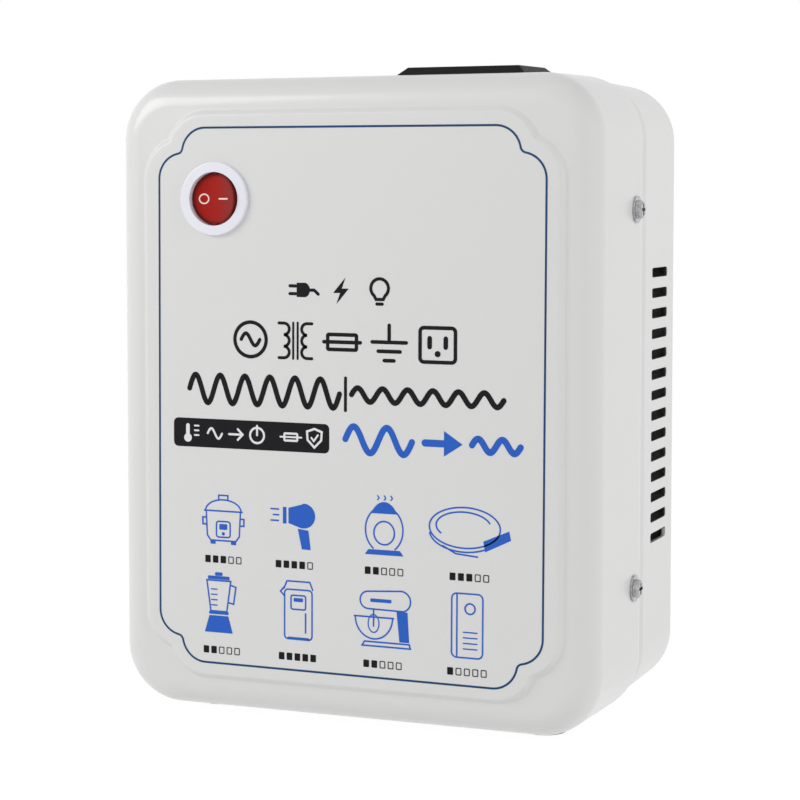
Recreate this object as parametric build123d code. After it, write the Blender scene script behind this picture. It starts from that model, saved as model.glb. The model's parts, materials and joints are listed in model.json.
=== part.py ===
from build123d import *
import math
import os

# Travel voltage converter: a toroidal step-down transformer in a painted two-part steel case.
# Millimetres. While it is built, X is to the right, Y runs back from the raised front panel and
# Z is up from the underside of the case. At the end all pieces move together, so that the origin
# is the middle of the footprint, on the surface that the feet stand on.

# Case
case_width = 161.6
case_height = 202.0
case_depth = 94.9
corner_radius = 20.0
wall = 1.2
front_roll_radius = 9.0
back_roll_radius = 5.0
panel_proud = 1.5
seam_y = 49.4
front_draft = 1.2
rear_draft = 0.3
seam_step = 1.0
joggle_length = 6.0
lip_clearance = 0.1
lip_depth = 4.4
cut_over = 1.0
hexagon_sides = 6
cross_turns = (0, 90)

# Notched border that the raised panel follows
border_side_inset = 16.6
border_end_inset = 16.4
border_notch_radius = 8.0
panel_reach = 4.6
panel_flank_reach = 5.3
panel_foot_reach = 6.4
panel_edge_round = 0.35

# Side vents
vent_count = 14
vent_length = 18.8
vent_width = 3.1
vent_pitch = 6.59
vent_corner = 0.9
vent_front_y = 63.9
vent_top_above_middle = 40.35

# Case screws, two in each side
case_screw_y = 41.2
case_screw_inset = 41.9
case_screw_radius = 1.95
case_screw_length = 7.0
case_screw_flange_radius = 4.2
case_screw_flange = 0.7
case_screw_head_radius = 2.9
case_screw_head = 1.7
case_screw_recess_width = 0.9
case_screw_recess_length = 3.6
case_screw_recess_depth = 1.2
screw_tab_width = 24.0
screw_tab_depth = 15.0
screw_clearance = 0.25
thread_clearance = 0.05

# Feet
foot_height = 2.4
foot_radius = 7.0
foot_edge_round = 0.6
foot_stem_radius = 2.4
foot_bulb_radius = 3.3
foot_bulb_length = 2.0
foot_side_inset = 24.8
foot_front_y = 28.0
foot_back_inset = 19.0
foot_fit = 0.15

# Rocker switch
switch_side_inset = 36.9
switch_top_inset = 38.6
switch_hole_radius = 10.0
switch_bezel_radius = 11.5
switch_bezel_height = 1.4
switch_bezel_round = 0.4
switch_opening_radius = 8.4
switch_body_radius = 9.8
switch_body_depth = 15.0
switch_floor = 2.0
switch_clip_reach = 1.1
switch_clip_length = 5.0
switch_clip_width = 6.0
rocker_radius = 8.2
rocker_pivot_y = 0.8
rocker_face_angle = 10.0
rocker_half_travel = 10.0
rocker_skirt = 2.2
rocker_face_gap = 0.4
rocker_pin_radius = 1.2
rocker_pin_reach = 9.4
rocker_pin_root = 0.6
running_clearance = 0.05
rocker_leg_width = 4.0
rocker_leg_length = 5.6
plunger_radius = 1.1
plunger_gap = 0.35
plunger_length = 5.0
plunger_fit = 0.05
plunger_spring_radius = 0.95
plunger_spring_bore = 0.55
lever_pivot_y = 12.0
lever_half_length = 5.2
lever_width = 3.0
lever_thickness = 0.6
lever_hub_radius = 0.9
lever_half_travel = 7.0
lever_stop_gap = 0.35
lever_cradle_width = 3.2
lever_cradle_fit = 0.05
switch_blade_pitch = 5.6
switch_blade_width = 4.8
switch_blade_thickness = 0.8
switch_blade_length = 9.0
switch_blade_fit = 0.05
lamp_radius = 1.4
lamp_length = 7.0
lamp_offset = 5.4

# Output socket in the top
outlet_side_inset = 47.8
outlet_front_y = 12.4
outlet_length = 41.6
outlet_depth = 31.0
outlet_height = 2.5
outlet_bevel = 2.8
outlet_body_length = 33.0
outlet_body_depth = 24.6
outlet_body_drop = 22.0
outlet_fit = 0.2
outlet_clip_reach = 0.9
outlet_clip_length = 4.0
outlet_clip_width = 8.0
blade_spacing = 12.7
blade_slot_width = 2.2
neutral_slot_length = 8.2
live_slot_length = 6.9
blade_slot_land = 3.2
blade_row_offset = 5.8
earth_offset = 11.9
earth_slot_width = 5.6
earth_slot_straight = 3.3
contact_chamber_length = 9.4
contact_chamber_width = 4.6
earth_chamber_radius = 3.9
earth_land = 9.6
contact_leaf = 0.6
contact_gap = 1.4
contact_leaf_width = 7.0
contact_height = 13.0
contact_tab_width = 4.8
contact_tab_length = 8.0
earth_contact_bore = 2.45
earth_contact_height = 8.0
outlet_cover = 2.0
cover_fit = 0.1

# Toroidal transformer, standing against the back wall
toroid_floor_gap = 18.0
toroid_radius_share = 0.307
toroid_bore_share = 0.3386
toroid_height = 56.0
toroid_round = 7.0
tape_thickness = 0.6
winding_rim = 11.0
winding_lining = 10.0
winding_face = 7.0
pad_thickness = 2.0
pad_rim_inset = 12.0
bolt_radius = 4.0
bolt_fit = 0.2
bolt_head_radius = 8.5
bolt_head_height = 4.0
bolt_head_round = 3.0
bolt_tail = 2.0
clamp_rim_inset = 20.0
clamp_thickness = 1.6
clamp_dish_depth = 5.0
clamp_dish_inset = 4.0
clamp_flat_radius = 10.0
clamp_washer_radius = 8.5
clamp_washer_thickness = 1.6
clamp_nut_width = 13.0
clamp_nut_height = 6.5

# Thermal cut-out on the rim of the toroid
cutout_width = 8.0
cutout_length = 17.0
cutout_height = 5.0
cutout_round = 1.0
cutout_y = 64.0

# Reset breaker in the back
breaker_side_inset = 35.8
breaker_top_inset = 29.0
breaker_body_width = 15.0
breaker_body_height = 33.0
breaker_body_depth = 29.0
breaker_neck_radius = 5.5
breaker_neck_bore = 3.4
breaker_neck_length = 7.0
breaker_neck_fit = 0.2
breaker_nut_width = 14.0
breaker_nut_height = 2.4
breaker_button_radius = 3.3
breaker_button_proud = 1.6
breaker_button_travel = 3.5
breaker_button_guide = 5.5
breaker_button_gap = 0.3
breaker_button_round = 0.7
breaker_blade_offset = 11.0
breaker_blade_width = 6.3
breaker_blade_thickness = 0.8
breaker_blade_length = 8.0

# Supply gland in the back
gland_side_inset = 22.8
gland_floor_inset = 21.0
gland_thread_radius = 8.0
gland_fit = 0.2
gland_collar_width = 20.0
gland_collar_height = 4.0
gland_inner_length = 8.0
gland_locknut_height = 4.0
gland_nose_radius = 7.2
gland_nose_length = 6.5
gland_bore = 6.0
gland_seal_bore = 4.2
gland_seal_length = 10.0
gland_seal_fit = 0.1
gland_nut_width = 19.0
gland_nut_length = 11.0
gland_nut_mouth = 5.0
gland_nut_roof = 1.6
gland_nut_round = 5.0

# Terminal block on the back wall
block_to_outlet = 19.0
block_top_inset = 38.0
block_pitch = 12.0
block_count = 3
block_height = 14.0
block_depth = 16.0
block_end_margin = 3.0
block_bore_depth = 9.5
block_bore_fit = 0.3
block_screw_radius = 1.9
block_screw_fit = 0.2
block_screw_inset = 7.0
block_screw_drop = 1.5
block_fixing_radius = 1.45
block_fixing_head_radius = 2.8
block_fixing_head = 1.8
block_fixing_length = 8.0
block_fixing_offset = 4.2

# Internal leads
lead_radius = 1.3
lead_bend = 3.6
lead_gap = 0.3
lead_plane_inset = 47.9
lead_run = 9.0
primary_lead_offset = 14.8

# Places worked out from the sizes above
middle_z = case_height / 2
face_y = panel_proud
back_inner_y = case_depth - wall
seam_half_width = case_width / 2
seam_half_height = case_height / 2
draft_slope = math.tan(math.radians(front_draft))
border_half_width = seam_half_width - border_side_inset
border_half_height = seam_half_height - border_end_inset
case_screw_rise = seam_half_height - case_screw_inset
foot_x = seam_half_width - foot_side_inset
switch_x = switch_side_inset - seam_half_width
switch_rise = seam_half_height - switch_top_inset
outlet_x = seam_half_width - outlet_side_inset
breaker_x = breaker_side_inset - seam_half_width
breaker_rise = seam_half_height - breaker_top_inset
gland_x = seam_half_width - gland_side_inset
gland_rise = gland_floor_inset - seam_half_height
block_x = outlet_x - block_to_outlet
block_rise = seam_half_height - block_top_inset
primary_lead_x = switch_x + primary_lead_offset
joggle_end_y = seam_y + joggle_length
lead_plane_y = case_depth - lead_plane_inset
plunger_reach = lever_pivot_y - lever_hub_radius - plunger_gap - plunger_radius - rocker_pivot_y
breaker_button_length = breaker_button_travel + breaker_button_guide


def front_plane(y):
    """A drawing plane across the case at depth y that faces the front, centred on the case."""
    return Plane(origin=(0, y, middle_z), x_dir=(1, 0, 0), z_dir=(0, -1, 0))


def back_plane(y):
    """A drawing plane across the case at depth y that faces the back, centred on the case."""
    return Plane(origin=(0, y, middle_z), x_dir=(1, 0, 0), z_dir=(0, 1, 0))


def block_forward(width, height, corner, y_back, y_front, draft):
    """A rounded block that narrows from y_back towards the front."""
    outline = front_plane(y_back) * RectangleRounded(width, height, corner)
    return extrude(outline, y_back - y_front, taper=draft)


def block_backward(width, height, corner, y_front, y_back, draft):
    """A rounded block that narrows from y_front towards the back."""
    outline = back_plane(y_front) * RectangleRounded(width, height, corner)
    return extrude(outline, y_back - y_front, taper=draft)


def rod(radius, length, x, y, z, direction):
    """A cylinder that starts at a point and runs along a direction."""
    plane = Plane(origin=(x, y, z), z_dir=direction)
    return extrude(plane * Circle(radius), length)


def prism(outline, x, y, z, length, direction, across=(1, 0, 0)):
    """An outline pushed along a direction from a point."""
    plane = Plane(origin=(x, y, z), x_dir=across, z_dir=direction)
    return extrude(plane * outline, length)


def box_between(low, high):
    """A block from its lowest corner to its highest."""
    size = [b - a for a, b in zip(low, high)]
    centre = [(a + b) / 2 for a, b in zip(low, high)]
    return Pos(*centre) * Box(*size)


def front_half(y, half):
    """Half a size of the front shell's outside at depth y."""
    return half - draft_slope * (seam_y - y)


def notched_outline(reach, y):
    """The border's notched rectangle, moved outwards by reach, at depth y."""
    radius = border_notch_radius + reach
    near_x = border_half_width - border_notch_radius
    near_z = border_half_height - 2 * border_notch_radius
    far_x = border_half_width - 2 * border_notch_radius
    far_z = border_half_height - border_notch_radius
    spread = border_notch_radius / math.sqrt(2)
    rise = math.sqrt(radius**2 - spread**2) / math.sqrt(2)
    notch = ((near_x + far_x) / 2 + rise, (near_z + far_z) / 2 + rise)

    def on_circle(centre, toward):
        """The point of a corner's circle half way round its arc."""
        dx, dz = toward[0] - centre[0], toward[1] - centre[1]
        scale = radius / math.hypot(dx, dz)
        return (centre[0] + dx * scale, centre[1] + dz * scale)

    start = (border_half_width + reach, near_z)
    end = (far_x, border_half_height + reach)
    first_mid = on_circle((near_x, near_z), ((start[0] + notch[0]) / 2, (start[1] + notch[1]) / 2))
    second_mid = on_circle((far_x, far_z), ((end[0] + notch[0]) / 2, (end[1] + notch[1]) / 2))
    corner = [start, first_mid, notch, second_mid, end]
    turned = [
        corner,
        [(-x, z) for x, z in reversed(corner)],
        [(-x, -z) for x, z in corner],
        [(x, -z) for x, z in reversed(corner)],
    ]
    edges = []
    for number, points in enumerate(turned):
        edges.append(ThreePointArc(points[0], points[1], points[2]))
        edges.append(ThreePointArc(points[2], points[3], points[4]))
        edges.append(Line(points[4], turned[(number + 1) % len(turned)][0]))
    return front_plane(y) * make_face(Curve() + edges)


def raised_panel(inset):
    """The pressed-out field of the front, or its hollow when inset by the wall."""
    foot = notched_outline(panel_foot_reach - inset, face_y + inset)
    flank = notched_outline(panel_flank_reach - inset, panel_edge_round + inset)
    top = notched_outline(panel_reach - inset, inset)
    return loft([foot, flank], ruled=True) + loft([flank, top], ruled=True)


def screw_places():
    """Side (1 right, -1 left) and height of each case screw."""
    return [(side, middle_z + rise) for side in (1, -1) for rise in (case_screw_rise, -case_screw_rise)]


def side_place(side, z):
    """A frame on the front shell's side at a screw, its Z axis square to the drafted wall."""
    x = side * front_half(case_screw_y, seam_half_width)
    angle = math.radians(front_draft)
    normal = (side * math.cos(angle), -math.sin(angle), 0)
    return Plane(origin=(x, case_screw_y, z), x_dir=(0, 0, 1), z_dir=normal)


def foot_places():
    """Each foot's x, y and the lowest height of the wall above it."""
    front_wall = middle_z - front_half(foot_front_y + foot_radius, seam_half_height)
    rear_y = case_depth - foot_back_inset
    rear_wall = seam_step
    front = [(side * foot_x, foot_front_y, front_wall) for side in (1, -1)]
    return front + [(side * foot_x, rear_y, rear_wall) for side in (1, -1)]


def outlet_plane():
    """A frame on the outside of the top wall at the socket's middle, its Z axis out of the wall."""
    y = outlet_front_y + outlet_depth / 2
    z = middle_z + front_half(y, seam_half_height)
    angle = math.radians(front_draft)
    return Plane(origin=(outlet_x, y, z), x_dir=(1, 0, 0), z_dir=(0, -math.sin(angle), math.cos(angle)))


def front_shell():
    """The pressed front half of the case, with its rolled edge and raised panel."""
    outer = block_forward(case_width, case_height, corner_radius, seam_y, face_y, front_draft)
    outer = fillet(outer.faces().sort_by(Axis.Y)[0].edges(), front_roll_radius)
    outer += raised_panel(0)
    grow = 2 * draft_slope * cut_over
    hollow = block_forward(
        case_width - 2 * wall + grow,
        case_height - 2 * wall + grow,
        corner_radius - wall,
        seam_y + cut_over,
        face_y + wall,
        front_draft,
    )
    hollow = fillet(hollow.faces().sort_by(Axis.Y)[0].edges(), front_roll_radius - wall)
    shell = outer - hollow - raised_panel(wall)
    switch_z = middle_z + switch_rise
    shell -= rod(switch_hole_radius, wall + 2 * cut_over, switch_x, -cut_over, switch_z, (0, 1, 0))
    opening = Rectangle(outlet_body_length + 2 * outlet_fit, outlet_body_depth + 2 * outlet_fit)
    shell -= extrude(outlet_plane() * opening, wall + cut_over, both=True)
    for side, z in screw_places():
        hole = side_place(side, z) * Circle(case_screw_radius + screw_clearance)
        shell -= extrude(hole, wall + cut_over, both=True)
    for x, y, z in foot_places():
        if y < seam_y:
            shell -= rod(foot_stem_radius + foot_fit, wall + 2 * cut_over, x, y, z - cut_over, (0, 0, 1))
    return shell


def rear_body(inset):
    """The rear half's outside, or its hollow when inset by the wall, from lip to back."""
    width = case_width - 2 * (seam_step + inset)
    height = case_height - 2 * (seam_step + inset)
    corner = corner_radius - seam_step - inset
    main = block_backward(width, height, corner, joggle_end_y, case_depth - inset, rear_draft)
    main = fillet(main.faces().sort_by(Axis.Y)[-1].edges(), back_roll_radius - inset)
    lip_inset = wall + lip_clearance + inset
    drop = lip_inset - seam_step - inset
    slope = math.degrees(math.atan(drop / joggle_length))
    joggle = block_forward(width, height, corner, joggle_end_y, seam_y, slope)
    lip_width = case_width - 2 * lip_inset
    lip_height = case_height - 2 * lip_inset
    reach = seam_y - screw_tab_depth - inset * cut_over
    lip = block_forward(lip_width, lip_height, corner_radius - lip_inset, seam_y, reach, front_draft)
    return main + joggle + lip


def vent_slots(side):
    """The column of slots in one side wall."""
    slots = []
    outline = RectangleRounded(vent_length, vent_width, vent_corner)
    x = side * (seam_half_width - seam_step)
    for number in range(vent_count):
        z = middle_z + vent_top_above_middle - vent_width / 2 - number * vent_pitch
        plane = Plane(origin=(x, vent_front_y + vent_length / 2, z), x_dir=(0, 1, 0), z_dir=(side, 0, 0))
        slots.append(extrude(plane * outline, wall + cut_over, both=True))
    return slots


def rear_shell():
    """The pressed rear half of the case: joggled lip, screw tabs, vents and the holes in its back."""
    shell = rear_body(0) - rear_body(wall)
    lip_front = seam_y - lip_depth
    low_y = seam_y - screw_tab_depth - cut_over
    far_x = seam_half_width + cut_over
    far_z = case_height + cut_over
    tab_low = middle_z - case_screw_rise
    tab_high = middle_z + case_screw_rise
    half_tab = screw_tab_width / 2
    bands = [
        (-cut_over, tab_low - half_tab),
        (tab_low + half_tab, tab_high - half_tab),
        (tab_high + half_tab, far_z),
    ]
    for low_z, high_z in bands:
        shell -= box_between((-far_x, low_y, low_z), (far_x, lip_front, high_z))
    for side, z in screw_places():
        hole = side_place(side, z) * Circle(case_screw_radius + thread_clearance)
        shell -= extrude(hole, 2 * wall + cut_over, both=True)
    for side in (1, -1):
        shell -= vent_slots(side)
    through = wall + 2 * cut_over
    hole_y = back_inner_y - cut_over
    holes = [
        (bolt_radius + bolt_fit, 0, toroid_z),
        (breaker_neck_radius + breaker_neck_fit, breaker_x, middle_z + breaker_rise),
        (gland_thread_radius + gland_fit, gland_x, middle_z + gland_rise),
    ]
    holes += [(block_fixing_radius + thread_clearance, x, z) for x, z in block_fixing_places()]
    for radius, x, z in holes:
        shell -= rod(radius, through, x, hole_y, z, (0, 1, 0))
    for x, y, z in foot_places():
        if y > seam_y:
            shell -= rod(foot_stem_radius + foot_fit, through, x, y, z - cut_over, (0, 0, 1))
    return shell


def case_screws():
    """Four washer-head screws through the front shell into the rear shell's tabs."""
    screws = []
    for side, z in screw_places():
        flange = Pos(0, 0, case_screw_flange / 2) * Cylinder(case_screw_flange_radius, case_screw_flange)
        head = Cylinder(case_screw_head_radius, case_screw_head)
        head = Pos(0, 0, case_screw_flange + case_screw_head / 2) * head
        head = fillet(head.edges().sort_by(Axis.Z)[-1], case_screw_head / 2)
        shank = Pos(0, 0, -case_screw_length / 2) * Cylinder(case_screw_radius, case_screw_length)
        screw = flange + head + shank
        top = case_screw_flange + case_screw_head
        cut = Box(case_screw_recess_length, case_screw_recess_width, 2 * case_screw_recess_depth)
        for turn in cross_turns:
            screw -= Pos(0, 0, top) * Rot(0, 0, turn) * cut
        screws.append(side_place(side, z).location * screw)
    return screws


def rubber_feet():
    """Four push-in feet whose undersides are level."""
    feet = []
    for x, y, wall_z in foot_places():
        pad = Pos(x, y, (wall_z - foot_height) / 2) * Cylinder(foot_radius, wall_z + foot_height)
        pad = fillet(pad.edges().sort_by(Axis.Z)[0], foot_edge_round)
        stem_length = 2 * wall
        stem = Pos(x, y, wall_z + stem_length / 2) * Cylinder(foot_stem_radius, stem_length)
        bulb_z = wall_z + stem_length + foot_bulb_length / 2
        bulb = Pos(x, y, bulb_z) * Cone(foot_bulb_radius, foot_stem_radius, foot_bulb_length)
        feet.append(pad + stem + bulb)
    return feet


def switch_housing():
    """The round bezel and barrel of the rocker switch, with its two snap clips."""
    z = middle_z + switch_rise
    bezel = rod(switch_bezel_radius, switch_bezel_height, switch_x, 0, z, (0, -1, 0))
    bezel = fillet(bezel.edges().sort_by(Axis.Y)[0], switch_bezel_round)
    barrel = rod(switch_body_radius, switch_body_depth, switch_x, 0, z, (0, 1, 0))
    housing = bezel + barrel
    cavity = switch_bezel_height + switch_body_depth - switch_floor
    housing -= rod(switch_opening_radius, cavity, switch_x, -switch_bezel_height, z, (0, 1, 0))
    reach = rocker_pin_reach + running_clearance
    socket_radius = rocker_pin_radius + running_clearance
    housing -= rod(socket_radius, 2 * reach, switch_x, rocker_pivot_y, z - reach, (0, 0, 1))
    clip_start = wall + running_clearance
    outline = Polyline(
        (0, clip_start),
        (switch_clip_reach, clip_start),
        (0, clip_start + switch_clip_length),
        close=True,
    )
    wedge = make_face(outline)
    for side in (1, -1):
        foot = math.sqrt(switch_body_radius**2 - (switch_clip_width / 2) ** 2)
        plane = Plane(
            origin=(switch_x + side * foot, 0, z - side * switch_clip_width / 2),
            x_dir=(side, 0, 0),
            z_dir=(0, 0, side),
        )
        housing += extrude(plane * wedge, switch_clip_width)
    grow = 2 * switch_blade_fit
    slot = Rectangle(switch_blade_thickness + grow, switch_blade_width + grow)
    start = switch_body_depth - switch_floor - cut_over
    for offset in (-1, 0, 1):
        x = switch_x + offset * switch_blade_pitch
        housing -= prism(slot, x, start, z, switch_floor + 2 * cut_over, (0, 1, 0))
    return housing


def switch_rocker():
    """The red rocker in its off position: a dished ball slice on two pivot pins, with a leg."""
    ball = Sphere(rocker_radius)
    half = rocker_radius - rocker_face_gap / 2
    rim = math.sqrt(rocker_radius**2 - half**2)
    rise = half * math.tan(math.radians(rocker_face_angle))
    face_radius = (half**2 + rise**2) / (2 * rise)
    far = 2 * rocker_radius
    slab = box_between((-far, -far, -far), (far, rocker_skirt, far))
    dish = Pos(0, rise - rim - face_radius, 0) * Cylinder(face_radius, 2 * far)
    rocker = (ball & slab) - dish
    leg_end = rocker_skirt + rocker_leg_length
    leg = Pos(0, leg_end / 2, 0) * Box(rocker_leg_width, leg_end, rocker_leg_width)
    pin_start = rocker_radius - rocker_pin_root
    for side in (1, -1):
        rocker += rod(rocker_pin_radius, rocker_pin_reach - pin_start, 0, 0, side * pin_start, (0, 0, side))
    rocker += leg
    bore_start = plunger_reach - plunger_length
    bore = rod(plunger_radius + plunger_fit, leg_end, 0, rocker_pin_radius, 0, (0, 1, 0))
    rocker -= bore
    plunger = rod(plunger_radius, plunger_length, 0, bore_start, 0, (0, 1, 0))
    plunger += Pos(0, plunger_reach, 0) * Sphere(plunger_radius)
    spring = rod(plunger_spring_radius, bore_start - rocker_pin_radius, 0, rocker_pin_radius, 0, (0, 1, 0))
    spring -= rod(plunger_spring_bore, bore_start, 0, 0, 0, (0, 1, 0))
    place = Pos(switch_x, rocker_pivot_y, middle_z + switch_rise) * Rot(0, 0, -rocker_half_travel)
    return place * rocker, place * plunger, place * spring


def switch_lever():
    """The rocking contact that the plunger tips over, in its open position."""
    strip = Box(2 * lever_half_length, lever_thickness, lever_width)
    strip = Pos(0, lever_thickness / 2 - lever_hub_radius, 0) * strip
    lever = strip + Cylinder(lever_hub_radius, lever_width)
    place = Pos(switch_x, lever_pivot_y, middle_z + switch_rise) * Rot(0, 0, lever_half_travel)
    return place * lever


def switch_terminals():
    """The three blades of the switch; the middle one cradles the lever."""
    z = middle_z + switch_rise
    end = switch_body_depth + switch_blade_length
    blades = []
    fall = lever_half_length * math.sin(math.radians(lever_half_travel))
    stop_y = lever_pivot_y - lever_hub_radius + lever_thickness + fall + lever_stop_gap
    for offset in (-1, 0, 1):
        start = lever_pivot_y if offset == 0 else stop_y
        x = switch_x + offset * switch_blade_pitch
        blade = Rectangle(switch_blade_thickness, switch_blade_width)
        blades.append(prism(blade, x, start, z, end - start, (0, 1, 0)))
    floor_y = switch_body_depth - switch_floor
    cradle = box_between(
        (switch_x - lever_cradle_width / 2, lever_pivot_y, z - switch_blade_width / 2),
        (switch_x + lever_cradle_width / 2, floor_y, z + switch_blade_width / 2),
    )
    blades[1] += cradle
    groove = lever_hub_radius + lever_cradle_fit
    groove_z = z - switch_blade_width
    blades[1] -= rod(groove, 2 * switch_blade_width, switch_x, lever_pivot_y, groove_z, (0, 0, 1))
    return blades


def switch_lamp():
    """The small indicator lamp that lies on the switch's floor and lights the rocker."""
    y = switch_body_depth - switch_floor - lamp_radius
    z = middle_z + switch_rise + lamp_offset
    lamp = rod(lamp_radius, lamp_length, switch_x - lamp_length / 2, y, z, (1, 0, 0))
    return fillet(lamp.edges(), lamp_radius / 2)


def outlet_chambers():
    """Centre, slot length and pocket of each blade slot, in the socket's own frame."""
    return [
        (-blade_spacing / 2, neutral_slot_length),
        (blade_spacing / 2, live_slot_length),
    ]


def outlet_earth_x():
    """Where the earth hole lies along the socket."""
    return -blade_row_offset + earth_offset


def outlet_housing():
    """The bevelled black socket: a plate on the top wall and a body that snaps through it."""
    foot = Rectangle(outlet_length, outlet_depth)
    top = Rectangle(outlet_length - 2 * outlet_bevel, outlet_depth - 2 * outlet_bevel)
    plate = loft([foot, Pos(0, 0, outlet_height) * top], ruled=True)
    body_centre = -outlet_body_drop / 2
    body = Pos(0, 0, body_centre) * Box(outlet_body_length, outlet_body_depth, outlet_body_drop)
    housing = plate + body
    clip_top = -wall - running_clearance
    outline = Polyline(
        (0, clip_top),
        (outlet_clip_reach, clip_top),
        (0, clip_top - outlet_clip_length),
        close=True,
    )
    wedge = make_face(outline)
    for side in (1, -1):
        plane = Plane(
            origin=(side * outlet_body_length / 2, side * outlet_clip_width / 2, 0),
            x_dir=(side, 0, 0),
            z_dir=(0, -side, 0),
        )
        housing += extrude(plane * wedge, outlet_clip_width)
    through = outlet_height + outlet_body_drop + 2 * cut_over
    chamber = outlet_body_drop - blade_slot_land + outlet_height
    for y, length in outlet_chambers():
        slot = Pos(-blade_row_offset, y, outlet_height + cut_over - through / 2)
        housing -= slot * Box(length, blade_slot_width, through)
        pocket_z = outlet_height - blade_slot_land - (chamber + cut_over) / 2
        pocket = Box(contact_chamber_length, contact_chamber_width, chamber + cut_over)
        housing -= Pos(-blade_row_offset, y, pocket_z) * pocket
    earth_x = outlet_earth_x()
    straight = Rectangle(earth_slot_straight, earth_slot_width)
    hole = Circle(earth_slot_width / 2) + Pos(-earth_slot_straight / 2, 0) * straight
    land_z = outlet_height - earth_land
    housing -= Pos(earth_x, 0, land_z - cut_over) * extrude(hole, earth_land + 2 * cut_over)
    pit = outlet_body_drop + land_z
    housing -= Pos(earth_x, 0, land_z - pit / 2) * Cylinder(earth_chamber_radius, pit + cut_over)
    return outlet_plane().location * housing


def outlet_blade_contact(y):
    """A folded two-leaf contact under one blade slot, with its tab through the cover."""
    bottom = -outlet_body_drop
    leaf_y = (contact_gap + contact_leaf) / 2
    leaf = Box(contact_leaf_width, contact_leaf, contact_height)
    leaves = [Pos(0, side * leaf_y, bottom + contact_height / 2) * leaf for side in (1, -1)]
    bridge_width = contact_gap + 2 * contact_leaf
    bridge = Pos(0, 0, bottom + contact_leaf / 2) * Box(contact_leaf_width, bridge_width, contact_leaf)
    tab_length = outlet_cover + contact_tab_length
    tab = Pos(0, 0, bottom - tab_length / 2) * Box(contact_tab_width, contact_leaf, tab_length)
    contact = bridge + leaves + tab
    return outlet_plane().location * Pos(-blade_row_offset, y, 0) * contact


def outlet_earth_contact():
    """The slit tube that takes the earth pin, with its tab."""
    bottom = -outlet_body_drop
    outer = earth_contact_bore + contact_leaf
    tube = Pos(0, 0, bottom + earth_contact_height / 2) * Cylinder(outer, earth_contact_height)
    bore_z = bottom + contact_leaf + earth_contact_height / 2
    bore = Pos(0, 0, bore_z) * Cylinder(earth_contact_bore, earth_contact_height)
    slit = Pos(outer, 0, bore_z) * Box(outer, contact_leaf, earth_contact_height)
    tab_length = outlet_cover + contact_tab_length
    tab = Pos(0, 0, bottom - tab_length / 2) * Box(contact_leaf, contact_tab_width, tab_length)
    contact = tube - bore - slit + tab
    return outlet_plane().location * Pos(outlet_earth_x(), 0, 0) * contact


def outlet_cover_plate():
    """The plate that closes the socket's body and holds the contacts in."""
    slot_z = -outlet_body_drop - outlet_cover / 2
    plate = Pos(0, 0, slot_z) * Box(outlet_body_length, outlet_body_depth, outlet_cover)
    slot_length = contact_tab_width + 2 * cover_fit
    slot_width = contact_leaf + 2 * cover_fit
    deep = outlet_cover + 2 * cut_over
    for y, _ in outlet_chambers():
        plate -= Pos(-blade_row_offset, y, slot_z) * Box(slot_length, slot_width, deep)
    plate -= Pos(outlet_earth_x(), 0, slot_z) * Box(slot_width, slot_length, deep)
    return outlet_plane().location * plate


toroid_radius = toroid_radius_share * case_height
toroid_bore = toroid_bore_share * toroid_radius
toroid_z = toroid_floor_gap + toroid_radius
toroid_back_y = back_inner_y - pad_thickness
toroid_front_y = toroid_back_y - toroid_height
pad_front_y = toroid_front_y - pad_thickness
clamp_seat_y = pad_front_y - clamp_thickness + clamp_dish_depth


def ring(outer, inner, y_front, y_back):
    """A ring round the toroid's axis."""
    disc = rod(outer, y_back - y_front, 0, y_front, toroid_z, (0, 1, 0))
    return disc - rod(inner, y_back - y_front, 0, y_front, toroid_z, (0, 1, 0))


def toroid_body(skin):
    """The toroid's rounded ring, less a skin all round."""
    body = ring(toroid_radius - skin, toroid_bore + skin, toroid_front_y + skin, toroid_back_y - skin)
    return fillet(body.edges().filter_by(GeomType.CIRCLE), toroid_round - skin)


def toroid_core():
    """The wound steel core."""
    outer = toroid_radius - winding_rim
    inner = toroid_bore + winding_lining
    return ring(outer, inner, toroid_front_y + winding_face, toroid_back_y - winding_face)


def toroid_winding():
    """The copper winding round the core."""
    return toroid_body(tape_thickness) - toroid_core()


def toroid_tape():
    """The insulating tape over the winding."""
    return toroid_body(0) - toroid_body(tape_thickness)


def toroid_pad(y_front):
    """A rubber disc between the toroid and what holds it."""
    return ring(toroid_radius - pad_rim_inset, bolt_radius + bolt_fit, y_front, y_front + pad_thickness)


def toroid_front_pad():
    """The front rubber ring, open in the middle for the dished clamp."""
    return ring(toroid_radius - pad_rim_inset, toroid_bore + toroid_round, pad_front_y, toroid_front_y)


def clamp_plate():
    """The dished steel plate that the bolt pulls against the toroid."""
    front = pad_front_y - clamp_thickness
    rim = toroid_radius - clamp_rim_inset
    dish = toroid_bore - clamp_dish_inset
    outline = Polyline(
        (bolt_radius + bolt_fit, front + clamp_dish_depth),
        (clamp_flat_radius, front + clamp_dish_depth),
        (dish, front),
        (rim, front),
        (rim, front + clamp_thickness),
        (dish, front + clamp_thickness),
        (clamp_flat_radius, front + clamp_dish_depth + clamp_thickness),
        (bolt_radius + bolt_fit, front + clamp_dish_depth + clamp_thickness),
        close=True,
    )
    profile = Plane(origin=(0, 0, toroid_z), x_dir=(1, 0, 0), z_dir=(0, 0, 1)) * make_face(outline)
    return revolve(profile, Axis((0, 0, toroid_z), (0, 1, 0)))


def clamp_washer():
    """The washer under the clamp nut."""
    front = clamp_seat_y - clamp_washer_thickness
    return ring(clamp_washer_radius, bolt_radius + bolt_fit, front, clamp_seat_y)


def hexagon(width):
    """A hexagon of a given width across its flats."""
    return RegularPolygon(width / 2, hexagon_sides, major_radius=False)


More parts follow.
